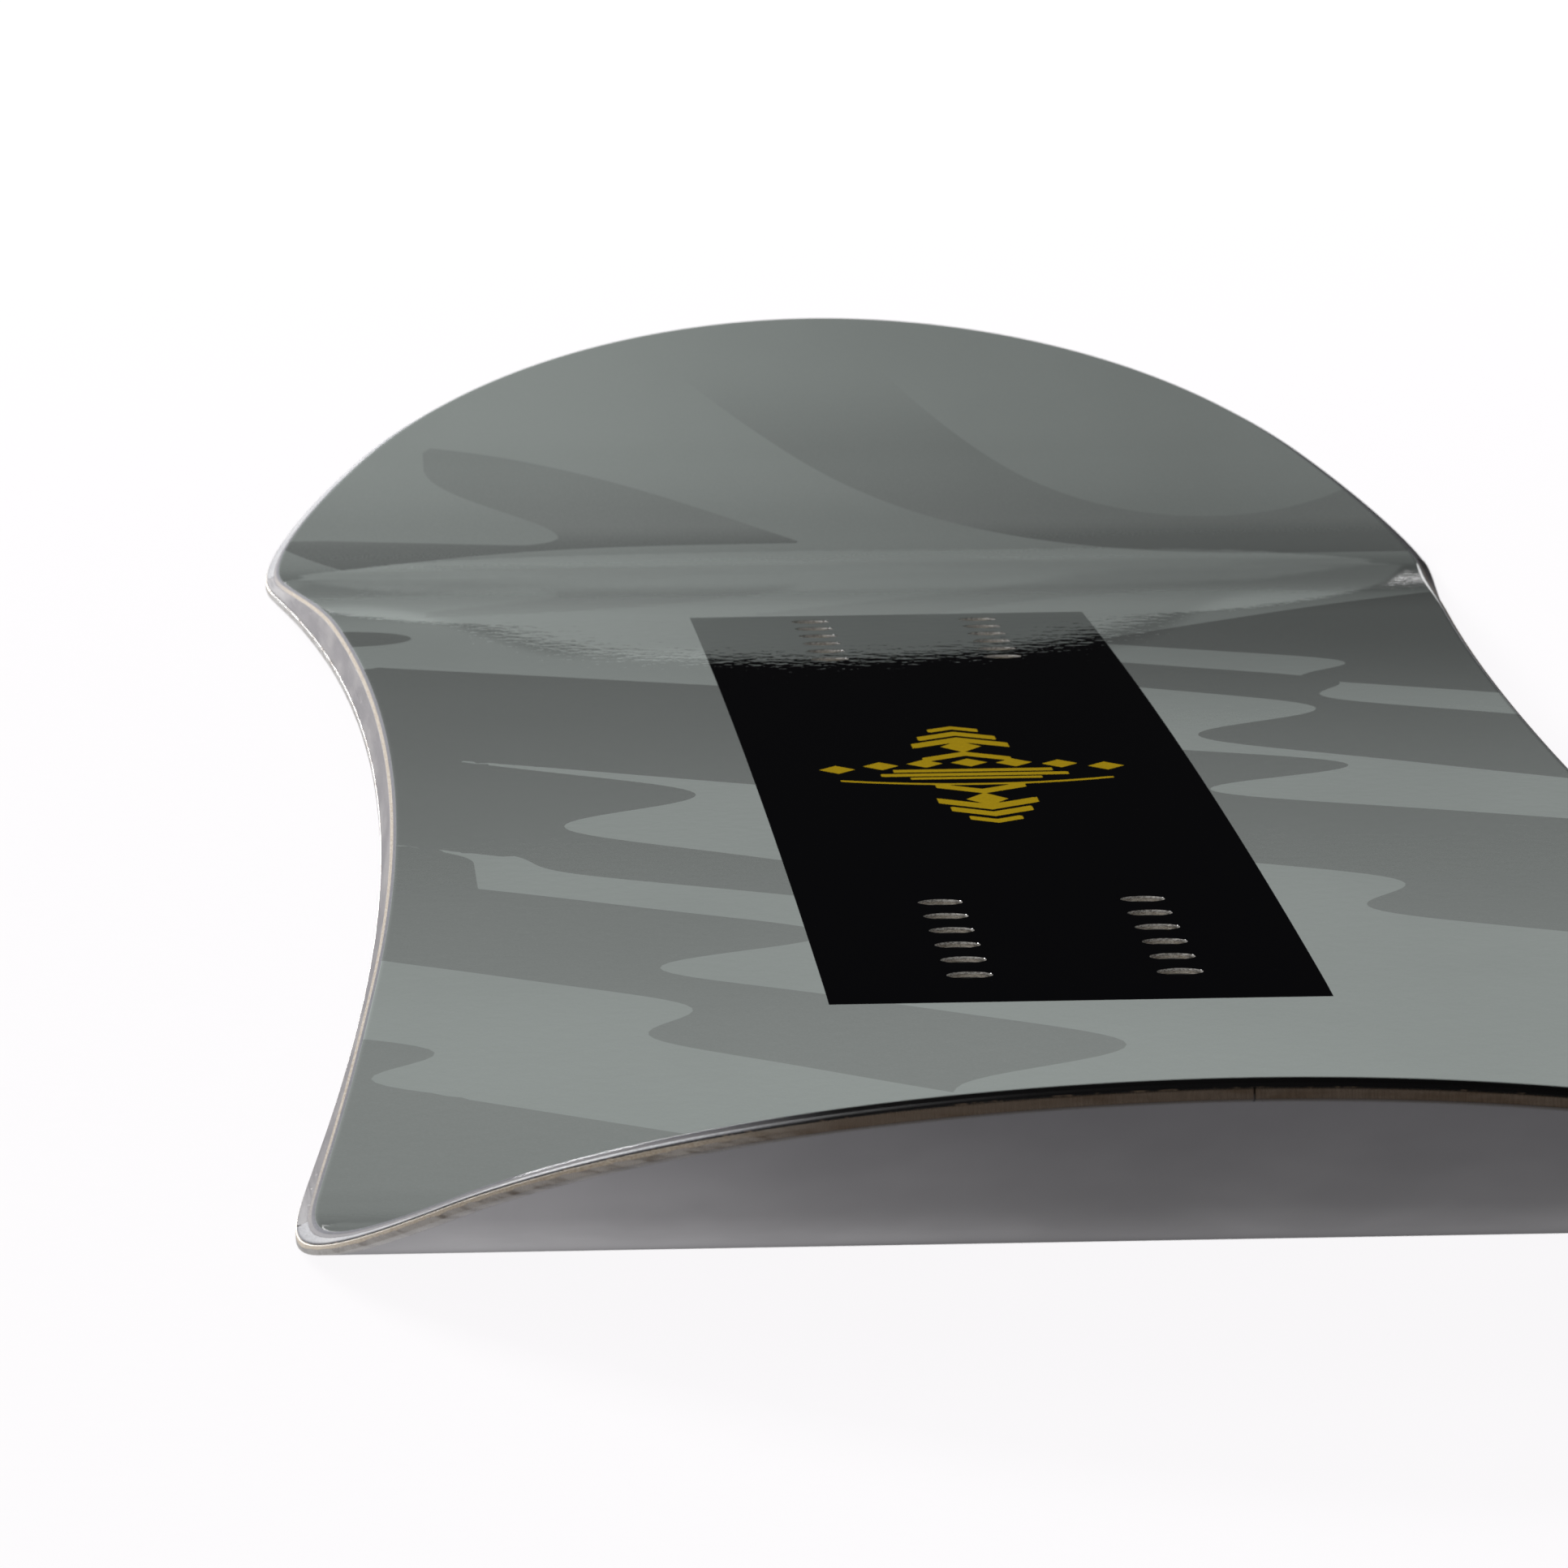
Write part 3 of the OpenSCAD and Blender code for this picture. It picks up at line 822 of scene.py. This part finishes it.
def steel_material():
    """Ground steel edge, with grinding lines across, stains, and resin left on it at the tips. It is
    darker and browner towards the tips, and painted near black as painted shade in the middle of each
    tip's rim.
    """
    g = Surface("steel_edge")
    lines = g.noise((0.25, 0.25, 3.0), 3.0, 0.6)
    stain = g.noise((9, 16, 1.2), 4.0, 0.6, 2.0)
    tone = g.mix(g.band(stain, 0.42, 0.68), (0.44, 0.43, 0.42), (0.18, 0.15, 0.13))
    jitter = g.times(g.minus(stain, 0.5), 0.9)
    ragged = g.plus(g.field("height"), jitter)
    # Painted shade mask for the middle of each tip's rim; no resin is shown there.
    middle = rim_painted_shade(g)
    resin = g.times(g.band(ragged, 0.86, 0.98), g.band(g.along, 520, 575))
    resin = g.times(resin, g.flip(middle))
    fibres = g.noise((0.7, 0.7, 0.14), 4.0, 0.65, 7.0)
    tan = g.mix(g.band(fibres, 0.35, 0.65), (0.26, 0.2, 0.14), (0.44, 0.38, 0.3))
    # Darker and browner tone towards the tips.
    tip_tone = g.mix(g.band(stain, 0.4, 0.7), (0.17, 0.15, 0.13), (0.06, 0.048, 0.038))
    tone = g.mix(g.band(g.along, 500, 590, 0.0, 0.75), tone, tip_tone)
    tone = g.mix(resin, tone, tan)
    # Painted shade: the middle of each tip's rim is painted near black.
    tone = g.mix(g.times(middle, 0.9), tone, (0.07, 0.05, 0.035))
    rough = g.plus(g.band(lines, 0.3, 0.7, 0.2, 0.36), g.times(resin, 0.35))
    relief = g.plus(lines, g.times(g.times(fibres, resin), 5.0))
    metal = g.flip(resin)
    return g.finish(base_color=tone, metallic=metal, roughness=rough, normal=g.bump(relief, 0.012))


def foil_material():
    """Black rubber foil, squeezed out a little, with tan resin beads."""
    g = Surface("rubber_foil")
    beads = g.noise((4.0, 4.0, 0.5), 3.0, 0.6)
    tone = g.mix(g.band(beads, 0.56, 0.64), (0.012, 0.011, 0.011), (0.3, 0.22, 0.15))
    rough = g.band(beads, 0.3, 0.7, 0.5, 0.8)
    return g.finish(base_color=tone, roughness=rough, normal=g.bump(beads, 0.05))


def base_material():
    """Lilac-grey sintered base: stone-ground lines along the board, fine speckle and a waxed sheen."""
    g = Surface("base")
    lines = g.noise((0.6, 70, 10), 3.0, 0.6)
    cross = g.noise((9, 1.1, 9), 3.0, 0.6, 3.0)
    speckle = g.noise((0.4, 0.4, 0.4), 1.0, 0.5, 6.0)
    cloud = g.noise((45, 120, 40), 3.0, 0.55, 8.0)
    tone = g.mix(g.band(lines, 0.3, 0.7), (0.04, 0.036, 0.048), (0.052, 0.047, 0.062))
    tone = g.mix(g.band(speckle, 0.6, 0.8, 0.0, 0.5), tone, (0.085, 0.08, 0.1))
    tone = g.mix(g.band(cloud, 0.4, 0.7, 0.0, 0.15), tone, (0.034, 0.031, 0.041))
    rough = g.band(cloud, 0.3, 0.7, 0.2, 0.26)
    height = g.plus(lines, g.times(cross, 0.5))
    return g.finish(base_color=tone, roughness=rough, normal=g.bump(height, 0.003), ior=1.5)


def wood_material(name, pale, dark, ring):
    """Straight-grained wood: growth lines along the board, pores and a slow change of tone."""
    g = Surface(name)
    grain = g.noise((ring, 240, ring), 5.0, 0.6)
    pores = g.band(g.noise((0.25, 9, 0.25), 2.0, 0.5, 5.0), 0.62, 0.7)
    wide = g.noise((9, 600, 9), 2.0, 0.5, 2.0)
    tone = g.mix(g.band(grain, 0.35, 0.65), pale, dark)
    tone = g.mix(g.band(wide, 0.4, 0.7, 0.0, 0.3), tone, dark)
    tone = g.mix(g.times(pores, 0.6), tone, tuple(c * 0.45 for c in dark))
    rough = g.band(grain, 0.3, 0.7, 0.55, 0.75)
    bump = g.bump(g.minus(grain, pores), 0.05)
    return g.finish(base_color=tone, roughness=rough, normal=bump)


def weave_material(name, pale, dark, pitch):
    """Woven cloth in resin: threads over and under in both directions."""
    g = Surface(name)
    turn = 2 * math.pi / pitch
    warp = g.math("SINE", g.times(g.x, turn))
    weft = g.math("SINE", g.times(g.y, turn))
    over = g.times(warp, weft)
    hair = g.noise((0.15, 2.5, 0.15), 3.0)
    tone = g.mix(g.band(over, -0.6, 0.6), dark, pale)
    tone = g.mix(g.band(hair, 0.4, 0.8, 0.0, 0.5), tone, pale)
    rough = g.band(over, -1, 1, 0.35, 0.55)
    bump = g.bump(g.plus(over, hair), 0.06)
    return g.finish(base_color=tone, roughness=rough, normal=bump)


def insert_material():
    """Turned stainless steel with fine rings and a few stains."""
    g = Surface("insert")
    rings = g.noise((3, 3, 0.12), 3.0, 0.6)
    stain = g.noise((4, 4, 3), 3.0, 0.6, 4.0)
    tone = g.mix(g.band(stain, 0.45, 0.7), (0.62, 0.62, 0.61), (0.36, 0.34, 0.32))
    rough = g.band(rings, 0.3, 0.7, 0.2, 0.36)
    return g.finish(base_color=tone, metallic=1.0, roughness=rough, normal=g.bump(rings, 0.01))


# ------------------------ pieces


def hole_places():
    places = []
    for end in (-1, 1):
        for side in (-1, 1):
            for i in range(INSERT_COUNT):
                y = end * STANCE / 2 + (i - (INSERT_COUNT - 1) / 2) * INSERT_PITCH
                places.append((side * INSERT_ROW_X, y))
    return places


HOLES = hole_places()


def make_topsheet():
    """The topsheet: a ground rim that rounds over into the deck, and drilled holes."""
    rim = (
        (2.86, GLASS_TOP, 0.0, -1.0),
        (2.78, GLASS_TOP + 0.03, 0.72, 0.69),
        (3.06, GLASS_TOP + 0.27, 0.66, 0.75),
        (3.24, GLASS_TOP + 0.38, 0.5, 0.87),
        (3.48, GLASS_TOP + 0.46, 0.28, 0.96),
        (3.76, GLASS_TOP + 0.492, 0.1, 0.995),
        (4.1, DECK_TOP, 0.0, 1.0),
    )
    bore = (
        (DECK_HOLE_R, GLASS_TOP, 0.0, -1.0),
        (DECK_HOLE_R, GLASS_TOP + 0.03, 0.6, 0.8),
        (DECK_HOLE_R, GLASS_TOP + 0.42, 0.5, 0.86),
        (DECK_HOLE_R + 0.05, GLASS_TOP + 0.48, 0.4, 0.9),
        (DECK_HOLE_R + 0.16, DECK_TOP, 0.0, 1.0),
    )
    wide = grid(3.3, 3.6, 5.2, HOLES)
    near = np.abs(wide - [ORNAMENT_X, ORNAMENT_Y])
    wide = wide[(near[:, 0] > ORNAMENT_HALF[0]) | (near[:, 1] > ORNAMENT_HALF[1])]
    x = np.arange(ORNAMENT_X - ORNAMENT_HALF[0], ORNAMENT_X + ORNAMENT_HALF[0], 0.8)
    y = np.arange(ORNAMENT_Y - ORNAMENT_HALF[1], ORNAMENT_Y + ORNAMENT_HALF[1], 1.0)
    fine = np.column_stack([a.ravel() for a in np.meshgrid(x, y)])
    shape = plate(rim, bore, HOLES, np.vstack([wide, fine]), grid(12, 14, 6.0, HOLES))
    points = np.array(shape.points)
    x, y = points[:, 0], points[:, 1]
    below = level_z(y, DECK_TOP, 1) - points[:, 2]
    fields = {
        "camo": camouflage(x, y),
        "swoosh": nose_swoosh(x, y),
        "swoosh_depth": swoosh_depth(y),
        "ornament": ornament(x, y),
        "cut": ease((below - 0.02) / 0.1),
    }
    piece("topsheet_skin", shape, topsheet_material(), ["topsheet"], fields)


def make_laminate():
    rim = (
        (2.22, GLASS_BOTTOM, 0.0, -1.0),
        (2.14, GLASS_BOTTOM + 0.04, 0.8, 0.6),
        (2.34, GLASS_BOTTOM + 0.25, 0.76, 0.65),
        (2.70, GLASS_TOP - 0.04, 0.76, 0.65),
        (2.82, GLASS_TOP, 0.0, 1.0),
    )
    bore = (
        (DECK_HOLE_R, GLASS_BOTTOM, 0.0, -1.0),
        (DECK_HOLE_R, GLASS_BOTTOM + 0.03, 0.5, 0.86),
        (DECK_HOLE_R, GLASS_TOP - 0.03, 0.5, 0.86),
        (DECK_HOLE_R, GLASS_TOP, 0.0, 1.0),
    )
    plan = grid(14, 14, 6.0, HOLES)
    shape = plate(rim, bore, HOLES, plan, plan)
    piece("upper_laminate_sheet", shape, laminate_material(), ["upper_laminate"])


def make_base():
    rim = (
        (EDGE_W + 0.1, 0.0, 0.0, -1.0),
        (EDGE_W + 0.02, 0.06, 0.8, -0.6),
        (EDGE_W + 0.02, BASE_TOP - 0.05, 1.0, 0.0),
        (EDGE_W + 0.08, BASE_TOP, 0.0, 1.0),
    )
    shape = plate(rim, (), (), grid(20, 14, 6.0), grid(7, 7, 6.0))
    piece("base_sheet_skin", shape, base_material(), ["base_sheet"])


SIDES = ((-1, "left"), (1, "right"))
ENDS = ((-1, "tail"), (1, "nose"))


def make_edges(material):
    """Steel edges: a rounded running part with a sharp lower corner, and the hidden T-shaped tangs."""
    section = (
        (EDGE_W, 0.0, 0, 0.0, -1.0),
        (0.12, 0.0, 0, 0.2, -0.98),
        (0.02, 0.05, 0, 0.8, -0.6),
        (0.0, 0.16, 0, 1.0, 0.0),
        (0.0, EDGE_TOP - 0.22, 0, 1.0, 0.0),
        (0.07, EDGE_TOP - 0.07, 0, 0.75, 0.66),
        (0.22, EDGE_TOP, 0, 0.1, 0.995),
        (EDGE_W - 0.05, EDGE_TOP, 0, 0.0, 1.0),
        (EDGE_W, EDGE_TOP - 0.05, 0, -1.0, 0.0),
    )
    for side, word in SIDES:
        shape = beam(half_loop(side), section)
        running = len(shape.points)
        for place in tang_places(side):
            prism(shape, tang_plan(*place), (BASE_TOP, 0), (EDGE_TOP - 0.02, 0))
        points = np.array(shape.points)
        height = (points[:, 2] - base_z(points[:, 1])) / np.sqrt(1 + slope(points[:, 1]) ** 2)
        height[running:] = 0
        name = "steel_edge_" + word
        piece(name + "_rail", shape, material, [name], {"height": height})


TANG_PITCH = 25.0
TANG_REACH = 4.6
TANG_HEAD_HALF = 6.0
TANG_NECK_HALF = 2.0
TANG_HEAD_L = 2.0
TANG_ROOT = 0.4


def tang_places(side):
    """Places on the inner side of the running part, each with the direction of its outward normal."""
    count = int(WIDE_Y // TANG_PITCH)
    places = []
    for y in np.arange(-count, count + 1) * TANG_PITCH:
        places.append((side * float(side_x(y, EDGE_W)), y, 0.0 if side > 0 else math.pi))
    for end in (-1, 1):
        path = quarter(EDGE_W)
        outer = quarter(0.0)
        for i in range(len(BODY_Y) + 11, QUARTER_N - 4, 8):
            away = (outer[i] - path[i]) * [side, end]
            places.append((side * path[i][0], end * path[i][1], math.atan2(away[1], away[0])))
    return places


def tang_plan(x, y, turn):
    """T-shaped outline, counter-clockwise, with its neck rooted in the running part."""
    step = TANG_HEAD_L - TANG_REACH
    lower = [
        (-TANG_REACH, -TANG_HEAD_HALF),
        (step, -TANG_HEAD_HALF),
        (step, -TANG_NECK_HALF),
        (TANG_ROOT, -TANG_NECK_HALF),
    ]
    outline = lower + [(a, -b) for a, b in lower[::-1]]
    c = math.cos(turn)
    s = math.sin(turn)
    return [(x + c * a - s * b, y + s * a + c * b) for a, b in outline]


def make_foils(material):
    section = (
        (FOIL_IN + FOIL_W, EDGE_TOP, 0, 0.0, -1.0),
        (FOIL_IN + 0.05, EDGE_TOP, 0, 0.3, -0.95),
        (FOIL_IN, EDGE_TOP + 0.1, 0, 1.0, 0.0),
        (FOIL_IN + 0.05, CORE_BOTTOM, 0, 0.3, 0.95),
        (FOIL_IN + FOIL_W, CORE_BOTTOM, 0, 0.0, 1.0),
    )
    for side, word in SIDES:
        name = "edge_foil_" + word
        piece(name + "_strip", beam(half_loop(side), section), material, [name])


def make_sidewalls(material):
    section = (
        (SIDEWALL_W, CORE_BOTTOM, 0, 0.0, -1.0),
        (0.32, CORE_BOTTOM, 0, 0.3, -0.95),
        (0.2, CORE_BOTTOM + 0.1, 0, 0.95, 0.1),
        (0.32, CORE_BOTTOM + 0.4, 0, 0.94, 0.34),
        (1.95, CORE_BOTTOM - 0.3, 1, 0.94, 0.34),
        (2.1, CORE_BOTTOM - 0.04, 1, 0.9, 0.43),
        (2.2, CORE_BOTTOM, 1, 0.0, 1.0),
        (SIDEWALL_W, CORE_BOTTOM, 1, 0.0, 1.0),
    )
    for side, word in SIDES:
        name = "sidewall_" + word
        piece(name + "_rail", beam(flank(side), section), material, [name])


def make_spacers(material):
    """Tip fillers: a ground rim round the tip, and a flat sheet at its top beyond the core's end."""
    section = (
        (SIDEWALL_W, CORE_BOTTOM, 0, 0.0, -1.0),
        (0.34, CORE_BOTTOM, 0, 0.3, -0.95),
        (0.22, CORE_BOTTOM + 0.08, 0, 0.8, 0.2),
        (0.55, CORE_BOTTOM + 0.3, 0, 0.7, 0.7),
        (2.0, CORE_BOTTOM - 0.06, 1, 0.62, 0.78),
        (2.1, CORE_BOTTOM, 1, 0.3, 0.95),
        (SIDEWALL_W, CORE_BOTTOM, 1, 0.0, 1.0),
    )
    for end, word in ENDS:
        path = tip_path(end)
        shape = beam(path, section)
        inner = path(SIDEWALL_W)
        beyond = inner[np.abs(inner[:, 1]) > CORE_END_Y]
        edge_x = width_at(loop(SIDEWALL_W), np.array([CORE_END_Y]))[0]
        first = (end * edge_x, end * CORE_END_Y)
        last = (-end * edge_x, end * CORE_END_Y)
        corners = [first, *map(tuple, beyond), last]
        prism(shape, corners, (CORE_BOTTOM, 1), (CORE_BOTTOM, 1))
        name = "tip_spacer_" + word
        piece(name + "_filler", shape, material, [name])


INSERT_R = 4.5
INSERT_FLANGE_R = 8.0
INSERT_FLANGE_T = 1.0
INSERT_H = 4.6
INSERT_FLOOR = 0.8
THREAD_MINOR_R = 2.5
THREAD_MAJOR_R = 3.0
THREAD_PITCH = 1.0


def insert_rows():
    """Radius, height and normal of an insert's turned outside, from its foot to its mouth."""
    top = INSERT_H
    return (
        (INSERT_FLANGE_R - 0.12, 0.0, 0.3, -0.95),
        (INSERT_FLANGE_R, 0.12, 0.9, -0.4),
        (INSERT_FLANGE_R, INSERT_FLANGE_T - 0.12, 0.9, 0.4),
        (INSERT_FLANGE_R - 0.12, INSERT_FLANGE_T, 0.3, 0.95),
        (INSERT_R + 0.25, INSERT_FLANGE_T, 0.3, 0.95),
        (INSERT_R, INSERT_FLANGE_T + 0.25, 0.95, 0.3),
        (INSERT_R, top - 0.25, 0.95, 0.3),
        (INSERT_R - 0.25, top, 0.35, 0.94),
        (THREAD_MAJOR_R + 0.35, top, -0.3, 0.95),
        (THREAD_MAJOR_R + 0.05, top - 0.3, -0.7, 0.7),
    )


def thread_radius(turn, z):
    """Radius of the M6 thread at a turn angle and a height."""
    phase = (z / THREAD_PITCH - turn / (2 * math.pi)) % 1.0
    depth = np.clip(2 * np.abs(phase - 0.5) * 1.5 - 0.25, 0, 1)
    return THREAD_MINOR_R + (THREAD_MAJOR_R - THREAD_MINOR_R) * depth


def add_insert(shape, centre):
    """One turned insert with a threaded blind hole."""
    turn = np.linspace(0, 2 * math.pi, 40, endpoint=False)
    radial = np.column_stack([np.cos(turn), np.sin(turn), np.zeros(len(turn))])
    foot = np.array([*centre, float(level_z(centre[1], CORE_BOTTOM, 0)) + INSERT_LIFT])

    def ring(radius, z, out, up):
        points = foot + radial * np.reshape(radius, (-1, 1)) + [0, 0, z]
        return shape.add(points, unit(radial * out + [0, 0, up]))

    rows = [ring(*step) for step in insert_rows()]
    for z in np.arange(INSERT_H - 0.38, INSERT_FLOOR, -0.125):
        slope_up = (thread_radius(turn, z + 0.05) - thread_radius(turn, z - 0.05)) / 0.1
        points = foot + radial * thread_radius(turn, z)[:, None] + [0, 0, z]
        normals = unit(-radial + np.column_stack([0 * turn, 0 * turn, slope_up]))
        rows.append(shape.add(points, normals))
    rows.append(ring(THREAD_MINOR_R - 0.1, INSERT_FLOOR, -0.3, 0.95))
    for low, high in zip(rows, rows[1:]):
        shape.strip(low, high)
    shape.faces.append(tuple(int(i) for i in rows[0][::-1]))
    shape.faces.append(tuple(int(i) for i in rows[-1]))


def make_inserts(material):
    for end, end_word in ENDS:
        for side, side_word in SIDES:
            shape = Shape()
            for x, y in HOLES:
                if x * side > 0 and y * end > 0:
                    add_insert(shape, (x, y))
            name = f"inserts_{end_word}_{side_word}"
            piece(name + "_turned", shape, material, [name])


def dress_hidden_layers():
    """Materials of the CAD nodes that stay: the core's strips, the lower laminate and the mats."""
    looks = {
        "core_stringer": wood_material("beech", (0.5, 0.29, 0.14), (0.36, 0.19, 0.085), 1.4),
        "poplar": wood_material("poplar", (0.7, 0.56, 0.34), (0.56, 0.42, 0.23), 2.6),
        "paulownia": wood_material("paulownia", (0.6, 0.47, 0.31), (0.45, 0.33, 0.2), 3.4),
        "lower_laminate": weave_material("lower_glass", (0.6, 0.56, 0.42), (0.42, 0.38, 0.26), 2.4),
        "binding_mat": weave_material("binding_mat", (0.09, 0.095, 0.09), (0.02, 0.02, 0.022), 3.0),
    }
    for name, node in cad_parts.items():
        if node.hide_render:
            continue
        poplar = name.startswith("core_rail") or name.endswith(("_2", "_4"))
        key = next((k for k in looks if name.startswith(k)), "poplar" if poplar else "paulownia")
        node.data.materials.clear()
        node.data.materials.append(looks[key])


# ------------------------ stage, light and camera


def make_world():
    """Soft studio surroundings: near white to the camera, and by direction for everything else."""
    world = bpy.data.worlds.new("studio")
    bpy.context.scene.world = world
    world.use_nodes = True
    world.node_tree.nodes.clear()
    g = Graph(world.node_tree)
    way = g.node("ShaderNodeTexCoord").outputs["Generated"]
    x, y, z = g.node("ShaderNodeSeparateXYZ", {0: way}).outputs
    rise = g.times(g.math("ARCSINE", z), 180 / math.pi)
    behind = g.band(rise, 42, 75, 0.004, 0.3)
    ahead = g.band(rise, 15, 70, 0.02, 0.4)
    value = g.choose(g.band(y, -0.25, 0.25), ahead, behind)
    left = g.band(g.times(x, -1.0), 0.3, 0.95, 0.0, 0.5)
    value = g.choose(g.seen(), g.plus(value, left), 1.0)
    shine = g.node("ShaderNodeBackground", {"Color": (1, 0.995, 0.985), "Strength": value})
    out = g.node("ShaderNodeOutputWorld")
    g.feed(out.inputs[0], shine.outputs[0])


def far_off(g, near, far):
    """A value near the object and another one far off; the floor's glow uses it for painted darkness
    where the studio falls into the dark.
    """
    reach = g.node("ShaderNodeVectorMath", {0: g.place}, operation="LENGTH").outputs[1]
    return g.band(reach, 1200, 1800, near, far)


def floor_glow(g):
    """Painted light and painted shadow from the floor's glow on the board: weak where it touches, and
    stronger at the left.
    """
    under = g.times(g.band(g.side, 125, 165, 1.0, 0.0), g.band(g.along, 770, 820, 1.0, 0.0))
    shade = g.times(g.band(g.along, 620, 690, 0.7, 0.36), g.band(g.along, 588, 612, 0.15, 1.0))
    shade = g.times(shade, g.band(g.x, -135, -15, 2.0, 1.0))
    return g.choose(under, far_off(g, 0.8, 0.05), shade)


def floor_material():
    """Pale floor: nearly white to the camera with a faint shadow, and see-through from below. For
    everything else it glows with painted light and painted shadow.
    """
    g = Surface("floor")
    g.tree.nodes.remove(g.shader)
    grain = g.noise((5, 5, 5), 3.0)
    pale = g.mix(g.band(grain, 0.3, 0.7), (0.8, 0.795, 0.79), (0.76, 0.755, 0.75))
    matt = g.node("ShaderNodeBsdfDiffuse", {"Color": pale}).outputs[0]
    share = g.choose(g.seen(), far_off(g, 0.5, 0.98), 0.94)
    # The floor's glow for everything but the camera is painted light and painted shadow.
    power = g.choose(g.seen(), floor_glow(g), 1.0)
    glow = g.node("ShaderNodeEmission", {"Color": (1, 0.985, 1), "Strength": power}).outputs[0]
    lit = g.node("ShaderNodeMixShader", {0: share, 1: matt, 2: glow}).outputs[0]
    clear = g.node("ShaderNodeBsdfTransparent").outputs[0]
    back = g.node("ShaderNodeNewGeometry").outputs["Backfacing"]
    both = g.node("ShaderNodeMixShader", {0: back, 1: lit, 2: clear}).outputs[0]
    out = next(n for n in g.tree.nodes if n.type == "OUTPUT_MATERIAL")
    g.feed(out.inputs[0], both)
    return g.material


FLOOR_Z = -0.0002
FLOOR_RINGS = (1.0, 3.0, 10.0, 60.0)
FLOOR_SIDES = 64


def make_floor():
    """A wide disc under the object, in rings."""
    turn = np.linspace(0, 2 * math.pi, FLOOR_SIDES, endpoint=False)
    points = [(0, 0, FLOOR_Z)]
    faces = []
    for k, radius in enumerate(FLOOR_RINGS):
        points += [(radius * math.cos(t), radius * math.sin(t), FLOOR_Z) for t in turn]
        first = 1 + k * len(turn)
        for i in range(len(turn)):
            j = (i + 1) % len(turn)
            if k == 0:
                faces.append((0, first + i, first + j))
            else:
                faces.append((first - len(turn) + i, first + i, first + j, first - len(turn) + j))
    mesh = bpy.data.meshes.new("floor")
    mesh.from_pydata(points, [], faces)
    mesh.materials.append(floor_material())
    floor = bpy.data.objects.new("floor", mesh)
    bpy.context.scene.collection.objects.link(floor)


def softbox(name, at, towards, size, watts):
    lamp = bpy.data.lights.new(name, "AREA")
    lamp.shape = "RECTANGLE"
    lamp.size, lamp.size_y = size
    lamp.energy = watts
    made = bpy.data.objects.new(name, lamp)
    made.location = at
    aim = Vector(towards) - Vector(at)
    made.rotation_euler = aim.to_track_quat("-Z", "Y").to_euler()
    bpy.context.scene.collection.objects.link(made)


def make_lights():
    softbox("key", (-3.6, 7.0, 3.4), (0, 0, 0), (4.0, 2.0), 1620)
    softbox("left_fill", (-2.4, -1.3, 1.0), (0, -0.4, 0), (1.6, 1.2), 6)


# Camera: a long lens, low behind the tail, turned a little to the right.
CAMERA_AT = (-0.1594, -2.7896, 0.3333)
CAMERA_YAW = 0.0425
CAMERA_PITCH = 0.1145
CAMERA_ROLL = -0.0114
CAMERA_LENS = 300.8
SENSOR = 36.0
FOCUS_AT = (0.0, -0.28, 0.01)
F_STOP = 170.0


def make_camera():
    cy, sy = math.cos(CAMERA_YAW), math.sin(CAMERA_YAW)
    cp, sp = math.cos(CAMERA_PITCH), math.sin(CAMERA_PITCH)
    forward = Vector((sy * cp, cy * cp, -sp))
    right = Vector((cy, -sy, 0))
    up = right.cross(forward)
    cr, sr = math.cos(CAMERA_ROLL), math.sin(CAMERA_ROLL)
    right, up = cr * right + sr * up, cr * up - sr * right
    turn = Matrix((right, up, -forward)).transposed()
    data = bpy.data.cameras.new("camera")
    data.lens = CAMERA_LENS
    data.sensor_width = SENSOR
    data.clip_start = 0.1
    data.clip_end = 200
    camera = bpy.data.objects.new("camera", data)
    camera.matrix_world = Matrix.Translation(CAMERA_AT) @ turn.to_4x4()
    bpy.context.scene.collection.objects.link(camera)
    focus = bpy.data.objects.new("focus", None)
    focus.location = FOCUS_AT
    bpy.context.scene.collection.objects.link(focus)
    data.dof.use_dof = True
    data.dof.focus_object = focus
    data.dof.aperture_fstop = F_STOP
    bpy.context.scene.camera = camera


make_topsheet()
make_laminate()
make_base()
make_edges(steel_material())
make_foils(foil_material())
make_sidewalls(sidewall_material())
make_spacers(spacer_material())
make_inserts(insert_material())
dress_hidden_layers()

make_world()
make_floor()
make_lights()
make_camera()
bpy.context.scene.view_settings.view_transform = "Standard"
